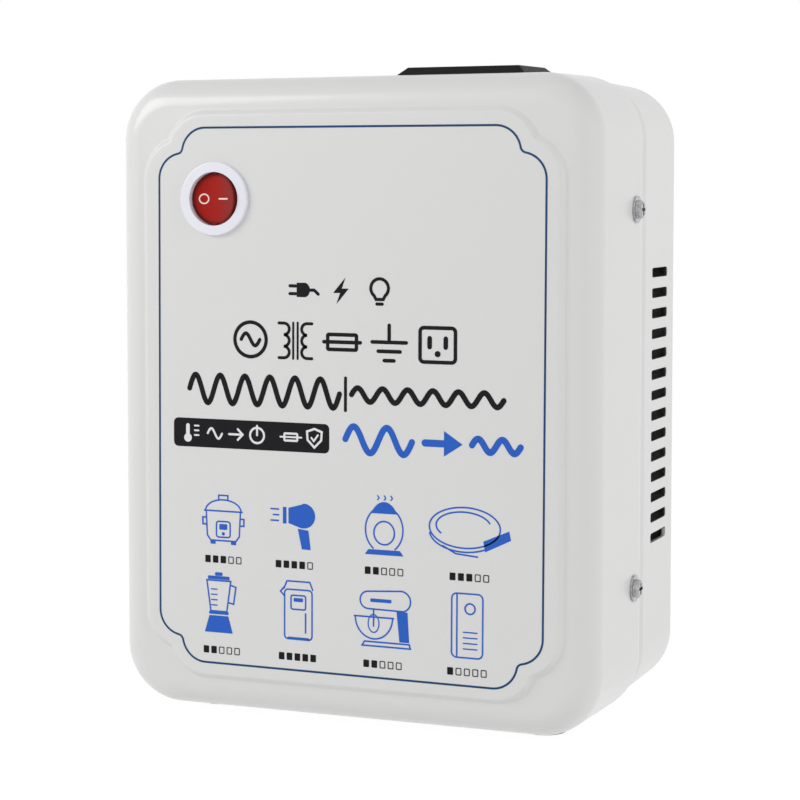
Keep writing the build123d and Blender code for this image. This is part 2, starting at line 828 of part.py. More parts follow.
def hex_nut(width, height, bore, x, y, z, direction):
    """A hexagonal nut that starts at a point and runs along a direction."""
    return prism(hexagon(width) - Circle(bore), x, y, z, height, direction)


def clamp_nut():
    """The nut that tightens the clamp plate."""
    seat = clamp_seat_y - clamp_washer_thickness
    bore = bolt_radius + thread_clearance
    return hex_nut(clamp_nut_width, clamp_nut_height, bore, 0, seat, toroid_z, (0, -1, 0))


def clamp_bolt():
    """The bolt through the back wall and the toroid, with its domed head outside."""
    end = clamp_seat_y - clamp_washer_thickness - clamp_nut_height - bolt_tail
    shank = rod(bolt_radius, case_depth - end, 0, end, toroid_z, (0, 1, 0))
    head = rod(bolt_head_radius, bolt_head_height, 0, case_depth, toroid_z, (0, 1, 0))
    head = fillet(head.edges().sort_by(Axis.Y)[-1], bolt_head_round)
    return shank + head


def thermal_cutout():
    """The temperature cut-out, saddled on the toroid's rim."""
    top = toroid_z + toroid_radius
    body = box_between(
        (-cutout_width / 2, cutout_y - cutout_length / 2, rim_z(cutout_width / 2)),
        (cutout_width / 2, cutout_y + cutout_length / 2, top + cutout_height),
    )
    body = fillet(body.edges().filter_by(Axis.Y).sort_by(Axis.Z)[-2:], cutout_round)
    return body - rod(toroid_radius, toroid_height, 0, toroid_front_y, toroid_z, (0, 1, 0))


def breaker_housing():
    """The thermal breaker's body with its threaded neck through the back wall."""
    z = middle_z + breaker_rise
    body = box_between(
        (breaker_x - breaker_body_width / 2, back_inner_y - breaker_body_depth, z - breaker_body_height / 2),
        (breaker_x + breaker_body_width / 2, back_inner_y, z + breaker_body_height / 2),
    )
    neck_end = breaker_neck_length + wall
    body += rod(breaker_neck_radius, neck_end, breaker_x, back_inner_y, z, (0, 1, 0))
    end_y = back_inner_y + neck_end
    bore = breaker_button_length + breaker_button_gap
    body -= rod(breaker_neck_bore, bore, breaker_x, end_y - bore, z, (0, 1, 0))
    return body


def breaker_nut():
    """The ring nut that holds the breaker."""
    z = middle_z + breaker_rise
    bore = breaker_neck_radius + thread_clearance
    return hex_nut(breaker_nut_width, breaker_nut_height, bore, breaker_x, case_depth, z, (0, 1, 0))


def breaker_button():
    """The reset button, pushed in as it is while the breaker is closed."""
    z = middle_z + breaker_rise
    end_y = back_inner_y + wall + breaker_neck_length + breaker_button_proud
    length = breaker_button_length + breaker_button_proud
    button = rod(breaker_button_radius, length, breaker_x, end_y - length, z, (0, 1, 0))
    return fillet(button.edges().sort_by(Axis.Y)[-1], breaker_button_round)


def breaker_terminals():
    """The breaker's two blades."""
    start = back_inner_y - breaker_body_depth
    blade = Rectangle(breaker_blade_thickness, breaker_blade_width)
    z = middle_z + breaker_rise
    return [
        prism(blade, breaker_x, start, z + side * breaker_blade_offset, breaker_blade_length, (0, -1, 0))
        for side in (1, -1)
    ]


def gland_body():
    """The supply gland's threaded body, with its six-sided collar outside the back wall."""
    z = middle_z + gland_rise
    thread = gland_inner_length + wall
    body = rod(gland_thread_radius, thread, gland_x, case_depth - thread, z, (0, 1, 0))
    body += prism(hexagon(gland_collar_width), gland_x, case_depth, z, gland_collar_height, (0, 1, 0))
    nose_y = case_depth + gland_collar_height
    body += rod(gland_nose_radius, gland_nose_length, gland_x, nose_y, z, (0, 1, 0))
    start = back_inner_y - gland_inner_length - cut_over
    length = nose_y + gland_nose_length + cut_over - start
    return body - rod(gland_bore, length, gland_x, start, z, (0, 1, 0))


def gland_seal():
    """The rubber sleeve that grips the cable."""
    end = case_depth + gland_collar_height + gland_nut_length - gland_nut_roof
    z = middle_z + gland_rise
    start = end - gland_seal_length
    sleeve = rod(gland_bore - gland_seal_fit, gland_seal_length, gland_x, start, z, (0, 1, 0))
    return sleeve - rod(gland_seal_bore, gland_seal_length, gland_x, start, z, (0, 1, 0))


def gland_dome_nut():
    """The outer nut that squeezes the seal."""
    z = middle_z + gland_rise
    start = case_depth + gland_collar_height
    nut = prism(hexagon(gland_nut_width), gland_x, start, z, gland_nut_length, (0, 1, 0))
    corner = gland_nut_width / 2 / math.cos(math.pi / hexagon_sides)
    dome = rod(corner, gland_nut_length, gland_x, start, z, (0, 1, 0))
    nut &= fillet(dome.edges().sort_by(Axis.Y)[-1], gland_nut_round)
    hollow = gland_nut_length - gland_nut_roof
    nut -= rod(gland_nose_radius + thread_clearance, hollow, gland_x, start, z, (0, 1, 0))
    return nut - rod(gland_nut_mouth, gland_nut_length + cut_over, gland_x, start, z, (0, 1, 0))


def gland_locknut():
    """The nut inside the back wall that holds the gland."""
    z = middle_z + gland_rise
    bore = gland_thread_radius + thread_clearance
    return hex_nut(gland_collar_width, gland_locknut_height, bore, gland_x, back_inner_y, z, (0, -1, 0))


def block_poles():
    """The middle of each pole of the terminal block."""
    first = block_x - block_pitch * (block_count - 1) / 2
    return [first + number * block_pitch for number in range(block_count)]


def block_fixing_places():
    """The x and z of the two screws that hold the terminal block, between its poles."""
    z = middle_z + block_rise - block_fixing_offset
    poles = block_poles()
    return [((poles[0] + poles[1]) / 2, z), ((poles[-2] + poles[-1]) / 2, z)]


def terminal_block():
    """The moulded block that joins the supply to the leads."""
    half = block_pitch * (block_count - 1) / 2 + block_pitch / 2 + block_end_margin
    z = middle_z + block_rise
    front_y = back_inner_y - block_depth
    block = box_between(
        (block_x - half, front_y, z - block_height / 2),
        (block_x + half, back_inner_y, z + block_height / 2),
    )
    bore = lead_radius + block_bore_fit
    screw_bore = block_screw_radius + block_screw_fit
    for x in block_poles():
        block -= rod(bore, block_bore_depth, x, front_y, z, (0, 1, 0))
        block -= rod(screw_bore, block_height / 2 + cut_over, x, block_screw_y(), z, (0, 0, 1))
    drop = block_height / 2 + cut_over
    block -= rod(bore, drop, block_x, block_screw_y(), z - drop, (0, 0, 1))
    fixing_bore = block_fixing_radius + thread_clearance
    depth = block_fixing_length - wall + thread_clearance
    for x, fixing_z in block_fixing_places():
        block -= rod(fixing_bore, depth, x, back_inner_y - depth, fixing_z, (0, 1, 0))
    return block


def block_screw_y():
    """The depth at which the clamping screws stand."""
    return back_inner_y - block_depth + block_screw_inset


def terminal_screws():
    """The clamping screw of each pole, down on its lead."""
    y = block_screw_y()
    start = middle_z + block_rise + lead_radius
    length = block_height / 2 - lead_radius - block_screw_drop
    screws = []
    for x in block_poles():
        screw = rod(block_screw_radius, length, x, y, start, (0, 0, 1))
        slot = Box(2 * block_screw_radius, case_screw_recess_width, case_screw_recess_width)
        screws.append(screw - Pos(x, y, start + length) * slot)
    return screws


def block_fixings():
    """The two screws through the back wall into the terminal block."""
    screws = []
    tip_y = case_depth - block_fixing_length
    for x, z in block_fixing_places():
        shank = rod(block_fixing_radius, block_fixing_length, x, tip_y, z, (0, 1, 0))
        head = rod(block_fixing_head_radius, block_fixing_head, x, case_depth, z, (0, 1, 0))
        head = fillet(head.edges().sort_by(Axis.Y)[-1], block_fixing_head / 2)
        screw = shank + head
        recess = Box(case_screw_recess_length, case_screw_recess_width, case_screw_recess_width)
        for turn in cross_turns:
            screw -= Pos(x, case_depth + block_fixing_head, z) * Rot(0, turn, 0) * recess
        screws.append(screw)
    return screws


def lead(points):
    """A stiff insulated lead along straight runs joined by arcs."""
    inner = points[1:-1]
    path = FilletPolyline(*points, radius=[lead_bend] * len(inner)) if inner else Line(*points)
    section = Plane(origin=path @ 0, z_dir=path % 0) * Circle(lead_radius)
    return sweep(section, path=path)


def rim_z(x):
    """The height of the toroid's rim at x."""
    return toroid_z + math.sqrt(toroid_radius**2 - x**2)


def lead_foot(x):
    """The height at which a lead over x clears the slanting rim."""
    return rim_z(abs(x) - lead_radius) + lead_gap


def outlet_tab(x, y):
    """The end of a socket tab, in the case's frame."""
    end = -outlet_body_drop - outlet_cover - contact_tab_length - lead_gap
    place = outlet_plane().location * Pos(x, y, end)
    return place.position


def leads():
    """The leads, each from terminal to terminal."""
    switch_z = middle_z + switch_rise
    switch_y = switch_body_depth + switch_blade_length + lead_gap
    breaker_y = back_inner_y - breaker_body_depth - breaker_blade_length - lead_gap
    breaker_z = middle_z + breaker_rise
    block_z = middle_z + block_rise
    block_y = back_inner_y - block_depth + block_bore_depth - lead_gap
    live_x, neutral_x, earth_x = block_poles()
    half_y = (switch_y + breaker_y) / 2
    common_x = switch_x
    load_x = switch_x - switch_blade_pitch
    upper_z = breaker_z + breaker_blade_offset
    lower_z = breaker_z - breaker_blade_offset
    primary_foot = lead_foot(primary_lead_x)
    output_foot = lead_foot(outlet_x)
    neutral_tab = outlet_tab(-blade_row_offset, -blade_spacing / 2)
    live_tab = outlet_tab(-blade_row_offset, blade_spacing / 2)
    earth_tab = outlet_tab(outlet_earth_x(), 0)
    return {
        "lead_breaker_to_switch": [
            (breaker_x, breaker_y, upper_z),
            (breaker_x, half_y + lead_run / 2, upper_z),
            (common_x, half_y - lead_run / 2, switch_z),
            (common_x, switch_y, switch_z),
        ],
        "lead_switch_to_coil": [
            (load_x, switch_y, switch_z),
            (load_x, switch_y + lead_run, switch_z),
            (load_x, lead_plane_y, primary_foot + 2 * lead_run),
            (primary_lead_x, lead_plane_y, primary_foot + lead_run),
            (primary_lead_x, lead_plane_y, primary_foot),
        ],
        "lead_block_to_breaker": [
            (live_x, block_y, block_z),
            (live_x, lead_plane_y, block_z),
            (breaker_x, lead_plane_y, lower_z),
            (breaker_x, breaker_y, lower_z),
        ],
        "lead_block_to_neutral": [
            (neutral_x, block_y, block_z),
            (neutral_x, neutral_tab.Y, block_z),
            (neutral_tab.X, neutral_tab.Y, block_z),
            (neutral_tab.X, neutral_tab.Y, neutral_tab.Z),
        ],
        "lead_block_to_earth": [
            (earth_x, block_y, block_z),
            (earth_x, lead_plane_y, block_z),
            (earth_tab.X, earth_tab.Y, block_z),
            (earth_tab.X, earth_tab.Y, earth_tab.Z),
        ],
        "lead_coil_to_live": [
            (outlet_x, lead_plane_y, output_foot),
            (outlet_x, lead_plane_y, output_foot + lead_run),
            (live_tab.X, live_tab.Y, live_tab.Z - lead_run),
            (live_tab.X, live_tab.Y, live_tab.Z),
        ],
        "lead_coil_to_block": [
            (neutral_x, block_screw_y(), lead_foot(neutral_x)),
            (neutral_x, block_screw_y(), block_z - lead_radius - lead_gap),
        ],
    }


def build_nodes():
    """Every piece of the converter by its node name."""
    rocker, plunger, spring = switch_rocker()
    nodes = {
        "front_shell": front_shell(),
        "rear_shell": rear_shell(),
        "case_screws": case_screws(),
        "rubber_feet": rubber_feet(),
        "switch_housing": switch_housing(),
        "switch_rocker": rocker,
        "switch_plunger": plunger,
        "switch_spring": spring,
        "switch_lever": switch_lever(),
        "switch_terminals": switch_terminals(),
        "switch_lamp": switch_lamp(),
        "outlet_housing": outlet_housing(),
        "outlet_neutral_contact": outlet_blade_contact(-blade_spacing / 2),
        "outlet_live_contact": outlet_blade_contact(blade_spacing / 2),
        "outlet_earth_contact": outlet_earth_contact(),
        "outlet_cover": outlet_cover_plate(),
        "toroid_core": toroid_core(),
        "toroid_winding": toroid_winding(),
        "toroid_tape": toroid_tape(),
        "toroid_rear_pad": toroid_pad(toroid_back_y),
        "toroid_front_pad": toroid_front_pad(),
        "toroid_clamp_plate": clamp_plate(),
        "toroid_washer": clamp_washer(),
        "toroid_nut": clamp_nut(),
        "toroid_bolt": clamp_bolt(),
        "thermal_cutout": thermal_cutout(),
        "breaker_housing": breaker_housing(),
        "breaker_nut": breaker_nut(),
        "breaker_button": breaker_button(),
        "breaker_terminals": breaker_terminals(),
        "gland_body": gland_body(),
        "gland_seal": gland_seal(),
        "gland_dome_nut": gland_dome_nut(),
        "gland_locknut": gland_locknut(),
        "terminal_block": terminal_block(),
        "terminal_screws": terminal_screws(),
        "terminal_block_fixings": block_fixings(),
    }
    for name, points in leads().items():
        nodes[name] = lead(points)
    return nodes


def solids_of(shape):
    """The separate solids of a piece or of a group of pieces."""
    pieces = shape if isinstance(shape, list) else [shape]
    return [solid for piece in pieces for solid in piece.solids()]


def main():
    """Builds every piece, sets the origin under the middle of the object and writes the files."""
    nodes = {name: solids_of(shape) for name, shape in build_nodes().items()}
    box = Compound([solid for solids in nodes.values() for solid in solids]).bounding_box()
    shift = Pos(0, -(box.min.Y + box.max.Y) / 2, -box.min.Z)
    os.makedirs("parts", exist_ok=True)
    for name, solids in nodes.items():
        moved = [shift * solid for solid in solids]
        shape = moved[0] if len(moved) == 1 else Compound(moved)
        export_step(shape, os.path.join("parts", name + ".step"))
    print("origin moved by", shift.position, "size", box.size)


main()
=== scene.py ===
"""Studio scene of a step-down mains transformer in an upright painted case.

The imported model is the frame. The pressed front cover is modelled again with a softer
shape, the front gets its printed panel, and every carried-over node gets its finish.

Sizes are in case millimetres, unless a value's words say metres: x to the right, y back
from the raised front field and z up from the middle of the case's height. CasePlace
turns them into scene metres.
"""

import json
import logging
import math
from dataclasses import dataclass, field, replace
from enum import Enum
from typing import Callable, Sequence

import bmesh
import bpy
from mathutils import Euler, Matrix, Vector


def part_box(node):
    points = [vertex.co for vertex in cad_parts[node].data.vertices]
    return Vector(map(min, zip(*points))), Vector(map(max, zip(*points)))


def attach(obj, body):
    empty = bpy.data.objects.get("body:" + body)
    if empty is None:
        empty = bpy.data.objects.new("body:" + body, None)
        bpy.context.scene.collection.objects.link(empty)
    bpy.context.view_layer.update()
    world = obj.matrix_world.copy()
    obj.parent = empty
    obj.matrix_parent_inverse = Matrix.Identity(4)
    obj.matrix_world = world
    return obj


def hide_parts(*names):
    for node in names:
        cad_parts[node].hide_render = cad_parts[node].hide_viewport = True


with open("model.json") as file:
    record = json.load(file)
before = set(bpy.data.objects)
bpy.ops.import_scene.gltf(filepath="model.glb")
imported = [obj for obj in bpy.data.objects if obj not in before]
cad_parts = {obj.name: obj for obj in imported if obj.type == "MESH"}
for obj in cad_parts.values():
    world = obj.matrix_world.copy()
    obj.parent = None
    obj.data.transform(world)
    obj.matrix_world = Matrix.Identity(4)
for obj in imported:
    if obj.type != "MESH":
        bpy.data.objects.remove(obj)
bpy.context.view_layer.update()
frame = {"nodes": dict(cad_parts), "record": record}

MM = 0.001
SWITCH_X = -43.9
SWITCH_Z = 62.4
WAVE_STEPS = 28
LOG = logging.getLogger("converter")

Point2 = tuple[float, float]
Colour = tuple[float, float, float]
Corners = tuple[tuple[float, float, float], tuple[float, float, float]]


# ---------------------------------------------------------------- finishes


class Relief(Enum):
    """The kind of fine relief that a finish shows."""

    ORANGE_PEEL = "orange peel"
    PEBBLE = "pebble"
    BRUSHED_X = "brushed along x"
    BRUSHED_Z = "brushed along z"
    WOUND = "wound round the toroid"


class NodeDesk:
    """Adds and joins the nodes of one node tree."""

    def __init__(self, tree: bpy.types.NodeTree) -> None:
        """Starts on a node tree, which it empties."""
        self.tree = tree
        tree.nodes.clear()

    def add(self, kind: str, **settings: object) -> bpy.types.Node:
        """Adds one node.

        Args:
            kind: The node's type name.
            settings: Properties of the node, or values of inputs by name with _ for a blank.

        Returns:
            The new node.
        """
        node = self.tree.nodes.new(kind)
        for key, value in settings.items():
            if hasattr(node, key):
                setattr(node, key, value)
            else:
                node.inputs[key.replace("_", " ")].default_value = value
        return node

    def join(self, source: bpy.types.NodeSocket, target: bpy.types.NodeSocket) -> None:
        """Links an output to an input."""
        self.tree.links.new(source, target)

    def math(self, operation: str, first: object, second: object = 0.0) -> bpy.types.NodeSocket:
        """Adds a math node.

        Args:
            operation: The operation's name.
            first: A socket or a number.
            second: A socket or a number.

        Returns:
            The node's output.
        """
        node = self.add("ShaderNodeMath", operation=operation)
        for slot, value in zip(node.inputs, (first, second)):
            self.feed(value, slot)
        return node.outputs[0]

    def feed(self, value: object, target: bpy.types.NodeSocket) -> None:
        """Links a socket to an input, or sets the input to a plain value.

        Args:
            value: A socket or a plain value.
            target: The input.
        """
        if isinstance(value, bpy.types.NodeSocket):
            self.join(value, target)
        else:
            target.default_value = value

    def mix(
        self, share: bpy.types.NodeSocket, first: object, second: object
    ) -> bpy.types.NodeSocket:
        """Mixes two colours.

        Args:
            share: The second colour's share.
            first: A socket, or a colour with alpha.
            second: A socket, or a colour with alpha.

        Returns:
            The mixed colour.
        """
        node = self.add("ShaderNodeMix", data_type="RGBA")
        self.join(share, node.inputs[0])
        self.feed(first, node.inputs[6])
        self.feed(second, node.inputs[7])
        return node.outputs[2]

    def noise(
        self, place: bpy.types.NodeSocket, scale: float, detail: float
    ) -> bpy.types.NodeSocket:
        """Adds soft noise.

        Args:
            place: The coordinates.
            scale: Patches for each metre.
            detail: How many finer layers it has.

        Returns:
            A value from 0 to 1.
        """
        node = self.add("ShaderNodeTexNoise", Scale=scale, Detail=detail)
        self.join(place, node.inputs["Vector"])
        return node.outputs[0]

    def axes(self, place: bpy.types.NodeSocket) -> tuple[bpy.types.NodeSocket, ...]:
        """Splits a place into x, y and z.

        Args:
            place: The coordinates.

        Returns:
            A socket for each.
        """
        node = self.add("ShaderNodeSeparateXYZ")
        self.join(place, node.inputs[0])
        return tuple(node.outputs)

    def finish(self, kind: str, result: bpy.types.NodeSocket) -> None:
        """Ends the tree with an output node of a kind."""
        self.join(result, self.add(kind).inputs["Surface"])

    def ramp(self, value: bpy.types.NodeSocket, start: float, end: float) -> bpy.types.NodeSocket:
        """Goes smoothly from 0 to 1.

        Args:
            value: What it follows.
            start: The value at which it is 0.
            end: The value at which it is 1, which may be the lower one.

        Returns:
            The ramp's socket.
        """
        node = self.add("ShaderNodeMapRange", interpolation_type="SMOOTHSTEP")
        self.join(value, node.inputs[0])
        low, high = sorted((start, end))
        node.inputs[1].default_value = low
        node.inputs[2].default_value = high
        node.inputs[3].default_value = 0.0 if start < end else 1.0
        node.inputs[4].default_value = 1.0 if start < end else 0.0
        return node.outputs[0]


class Tinge:
    """A second colour that takes over in part of a surface."""

    colour: Colour

    def share(self, desk: NodeDesk, place: bpy.types.NodeSocket) -> bpy.types.NodeSocket:
        """Builds the share, from 0 to 1, by which the colour takes over at a place."""
        raise NotImplementedError


# Used for the rear shell's painted shade in its side slots and along its seam.
@dataclass(frozen=True)
class BoxTinge(Tinge):
    """Takes over inside a box that is the same on the left and the right.

    Args:
        colour: The colour, linear.
        low: The box's lowest corner in metres, with x as a distance from the middle plane.
        high: The box's highest corner.
        fade: The distance over which its sides fade, in metres.
    """

    colour: Colour
    low: tuple[float, float, float]
    high: tuple[float, float, float]
    fade: float

    def share(self, desk: NodeDesk, place: bpy.types.NodeSocket) -> bpy.types.NodeSocket:
        """Multiplies a ramp in from each of the box's six sides.

        Args:
            desk: The desk of the material's tree.
            place: The object coordinates, in metres.

        Returns:
            The share's socket.
        """
        x, y, z = desk.axes(place)
        total: object = 1.0
        for axis, low, high in zip((desk.math("ABSOLUTE", x), y, z), self.low, self.high):
            for edge, inner in ((low, low + self.fade), (high, high - self.fade)):
                total = desk.math("MULTIPLY", desk.ramp(axis, edge, inner), total)
        return total


# Used for the rocker's painted shade towards its rim.
@dataclass(frozen=True)
class RimTinge(Tinge):
    """Takes over away from an axis that runs along y.

    Args:
        colour: The colour, linear.
        middle: The axis's x and z, in metres.
        start: The radius where it starts, in metres.
        end: The radius where it is full, in metres.
    """

    colour: Colour
    middle: Point2
    start: float
    end: float

    def share(self, desk: NodeDesk, place: bpy.types.NodeSocket) -> bpy.types.NodeSocket:
        """Ramps up over the distance from the axis.

        Args:
            desk: The desk of the material's tree.
            place: The object coordinates, in metres.

        Returns:
            The share's socket.
        """
        x, _, z = desk.axes(place)
        across = desk.math("POWER", desk.math("SUBTRACT", x, self.middle[0]), 2.0)
        rise = desk.math("POWER", desk.math("SUBTRACT", z, self.middle[1]), 2.0)
        return desk.ramp(desk.math("SQRT", desk.math("ADD", across, rise)), self.start, self.end)


# Used for the rocker's painted reflection on its right side.
@dataclass(frozen=True)
class SideTinge(Tinge):
    """Takes over to the right of a place.

    Args:
        colour: The colour, linear.
        start: The x where it starts, in metres.
        end: The x where it is full, in metres.
    """

    colour: Colour
    start: float
    end: float

    def share(self, desk: NodeDesk, place: bpy.types.NodeSocket) -> bpy.types.NodeSocket:
        """Ramps up along x."""
        return desk.ramp(desk.axes(place)[0], self.start, self.end)


@dataclass(frozen=True)
class Finish:
    """A surface finish that is built as a procedural material.

    Args:
        name: The material's name.
        colour: The base colour, linear.
        roughness: The middle of the roughness.
        metallic: 1 for metal.
        coat: The weight of a clear coat.
        transmission: The weight of light let through.
        subsurface: The weight of light scattered inside.
        specular: The specular level.
        shade_spread: How far the colour drifts, as a share.
        shade_mm: The size of the drift's patches.
        rough_spread: How far the roughness drifts.
        grain_mm: The size of the relief's grain.
        grain_depth_mm: The relief's depth.
        relief: The kind of relief.
        tinges: Further colours in parts of the surface.
        coat_roughness: The roughness of the clear coat.
        scatter_colour: How far red, green and blue travel inside, as shares.
        scatter_mm: How far light travels inside.
    """

    name: str
    colour: Colour
    roughness: float = 0.4
    metallic: float = 0.0
    coat: float = 0.0
    transmission: float = 0.0
    subsurface: float = 0.0
    specular: float = 0.5
    shade_spread: float = 0.03
    shade_mm: float = 25.0
    rough_spread: float = 0.05
    grain_mm: float = 1.2
    grain_depth_mm: float = 0.01
    relief: Relief = Relief.PEBBLE
    tinges: tuple[Tinge, ...] = ()
    coat_roughness: float = 0.08
    scatter_colour: Colour = (1.0, 0.35, 0.25)
    scatter_mm: float = 2.0

    def shades(self) -> tuple[tuple[float, ...], tuple[float, ...]]:
        """Works out how far the colour drifts.

        Returns:
            The darkest and the lightest shade, with alpha.
        """
        low = tuple(max(part * (1 - self.shade_spread), 0.0) for part in self.colour)
        high = tuple(min(part * (1 + self.shade_spread), 1.0) for part in self.colour)
        return low + (1.0,), high + (1.0,)

    def build(self, winding: "Winding") -> bpy.types.Material:
        """Builds the material.

        Args:
            winding: Where the toroid's axis lies, for a wound relief.

        Returns:
            The material.
        """
        material = bpy.data.materials.new(self.name)
        material.use_nodes = True
        desk = NodeDesk(material.node_tree)
        place = desk.add("ShaderNodeTexCoord").outputs["Object"]
        shader = desk.add("ShaderNodeBsdfPrincipled", Metallic=self.metallic)
        constants = {
            "Coat Weight": self.coat,
            "Coat Roughness": self.coat_roughness,
            "Transmission Weight": self.transmission,
            "Subsurface Weight": self.subsurface,
            "Subsurface Radius": self.scatter_colour,
            "Subsurface Scale": self.scatter_mm * MM,
            "Specular IOR Level": self.specular,
        }
        for label, value in constants.items():
            shader.inputs[label].default_value = value
        self._tint(desk, place, shader)
        self._gloss(desk, place, shader)
        self._grain(desk, place, shader, winding)
        desk.finish("ShaderNodeOutputMaterial", shader.outputs[0])
        material.diffuse_color = self.colour + (1.0,)
        return material

    def _tint(self, desk: NodeDesk, place: bpy.types.NodeSocket, shader: bpy.types.Node) -> None:
        """Drifts the colour between its shades and lays the tinges over it.

        Args:
            desk: The desk of the material's tree.
            place: The object coordinates.
            shader: The shader that gets the colour.
        """
        colour = desk.mix(desk.noise(place, 1000.0 / self.shade_mm, 3.0), *self.shades())
        for tinge in self.tinges:
            colour = desk.mix(tinge.share(desk, place), colour, tinge.colour + (1.0,))
        desk.join(colour, shader.inputs["Base Color"])

    def _gloss(self, desk: NodeDesk, place: bpy.types.NodeSocket, shader: bpy.types.Node) -> None:
        """Drifts the roughness in smaller patches than the colour.

        Args:
            desk: The desk of the material's tree.
            place: The object coordinates.
            shader: The shader that gets the roughness.
        """
        spread = desk.add("ShaderNodeMapRange")
        desk.join(desk.noise(place, 2500.0 / self.shade_mm, 4.0), spread.inputs[0])
        spread.inputs[3].default_value = max(self.roughness - self.rough_spread, 0.02)
        spread.inputs[4].default_value = min(self.roughness + self.rough_spread, 1.0)
        desk.join(spread.outputs[0], shader.inputs["Roughness"])

    def _grain(
        self,
        desk: NodeDesk,
        place: bpy.types.NodeSocket,
        shader: bpy.types.Node,
        winding: "Winding",
    ) -> None:
        """Gives the surface its fine relief.

        Args:
            desk: The desk of the material's tree.
            place: The object coordinates.
            shader: The shader that gets the relief.
            winding: Where the toroid's axis lies.
        """
        if self.relief is Relief.WOUND:
            height = winding.turns(desk, place, self.grain_mm)
        else:
            stretch = {Relief.BRUSHED_X: (0.04, 1.0, 1.0), Relief.BRUSHED_Z: (1.0, 1.0, 0.04)}
            mapping = desk.add("ShaderNodeMapping", Scale=stretch.get(self.relief, (1.0, 1.0, 1.0)))
            detail = 1.0 if self.relief is Relief.ORANGE_PEEL else 3.0
            desk.join(place, mapping.inputs["Vector"])
            height = desk.noise(mapping.outputs[0], 1000.0 / self.grain_mm, detail)
        bump = desk.add("ShaderNodeBump", Strength=1.0, Distance=self.grain_depth_mm * MM)
        desk.join(height, bump.inputs["Height"])
        desk.join(bump.outputs[0], shader.inputs["Normal"])


@dataclass(frozen=True)
class Winding:
    """The toroid's axis, which runs along y.

    Args:
        centre_z: The axis's height in metres.
        radius_mm: The radius at which a turn has its stated width.
    """

    centre_z: float
    radius_mm: float = 62.0

    def turns(
        self, desk: NodeDesk, place: bpy.types.NodeSocket, width_mm: float
    ) -> bpy.types.NodeSocket:
        """The relief of turns that run round the ring's section.

        Args:
            desk: The desk of the material's tree.
            place: The object coordinates.
            width_mm: The width of one turn at the rim.

        Returns:
            A height from 0 to 1.
        """
        x, _, z = desk.axes(place)
        angle = desk.math("ARCTAN2", desk.math("SUBTRACT", z, self.centre_z), x)
        count = round(2 * math.pi * self.radius_mm / width_mm)
        return desk.math("FRACT", desk.math("MULTIPLY", angle, count / (2 * math.pi)))


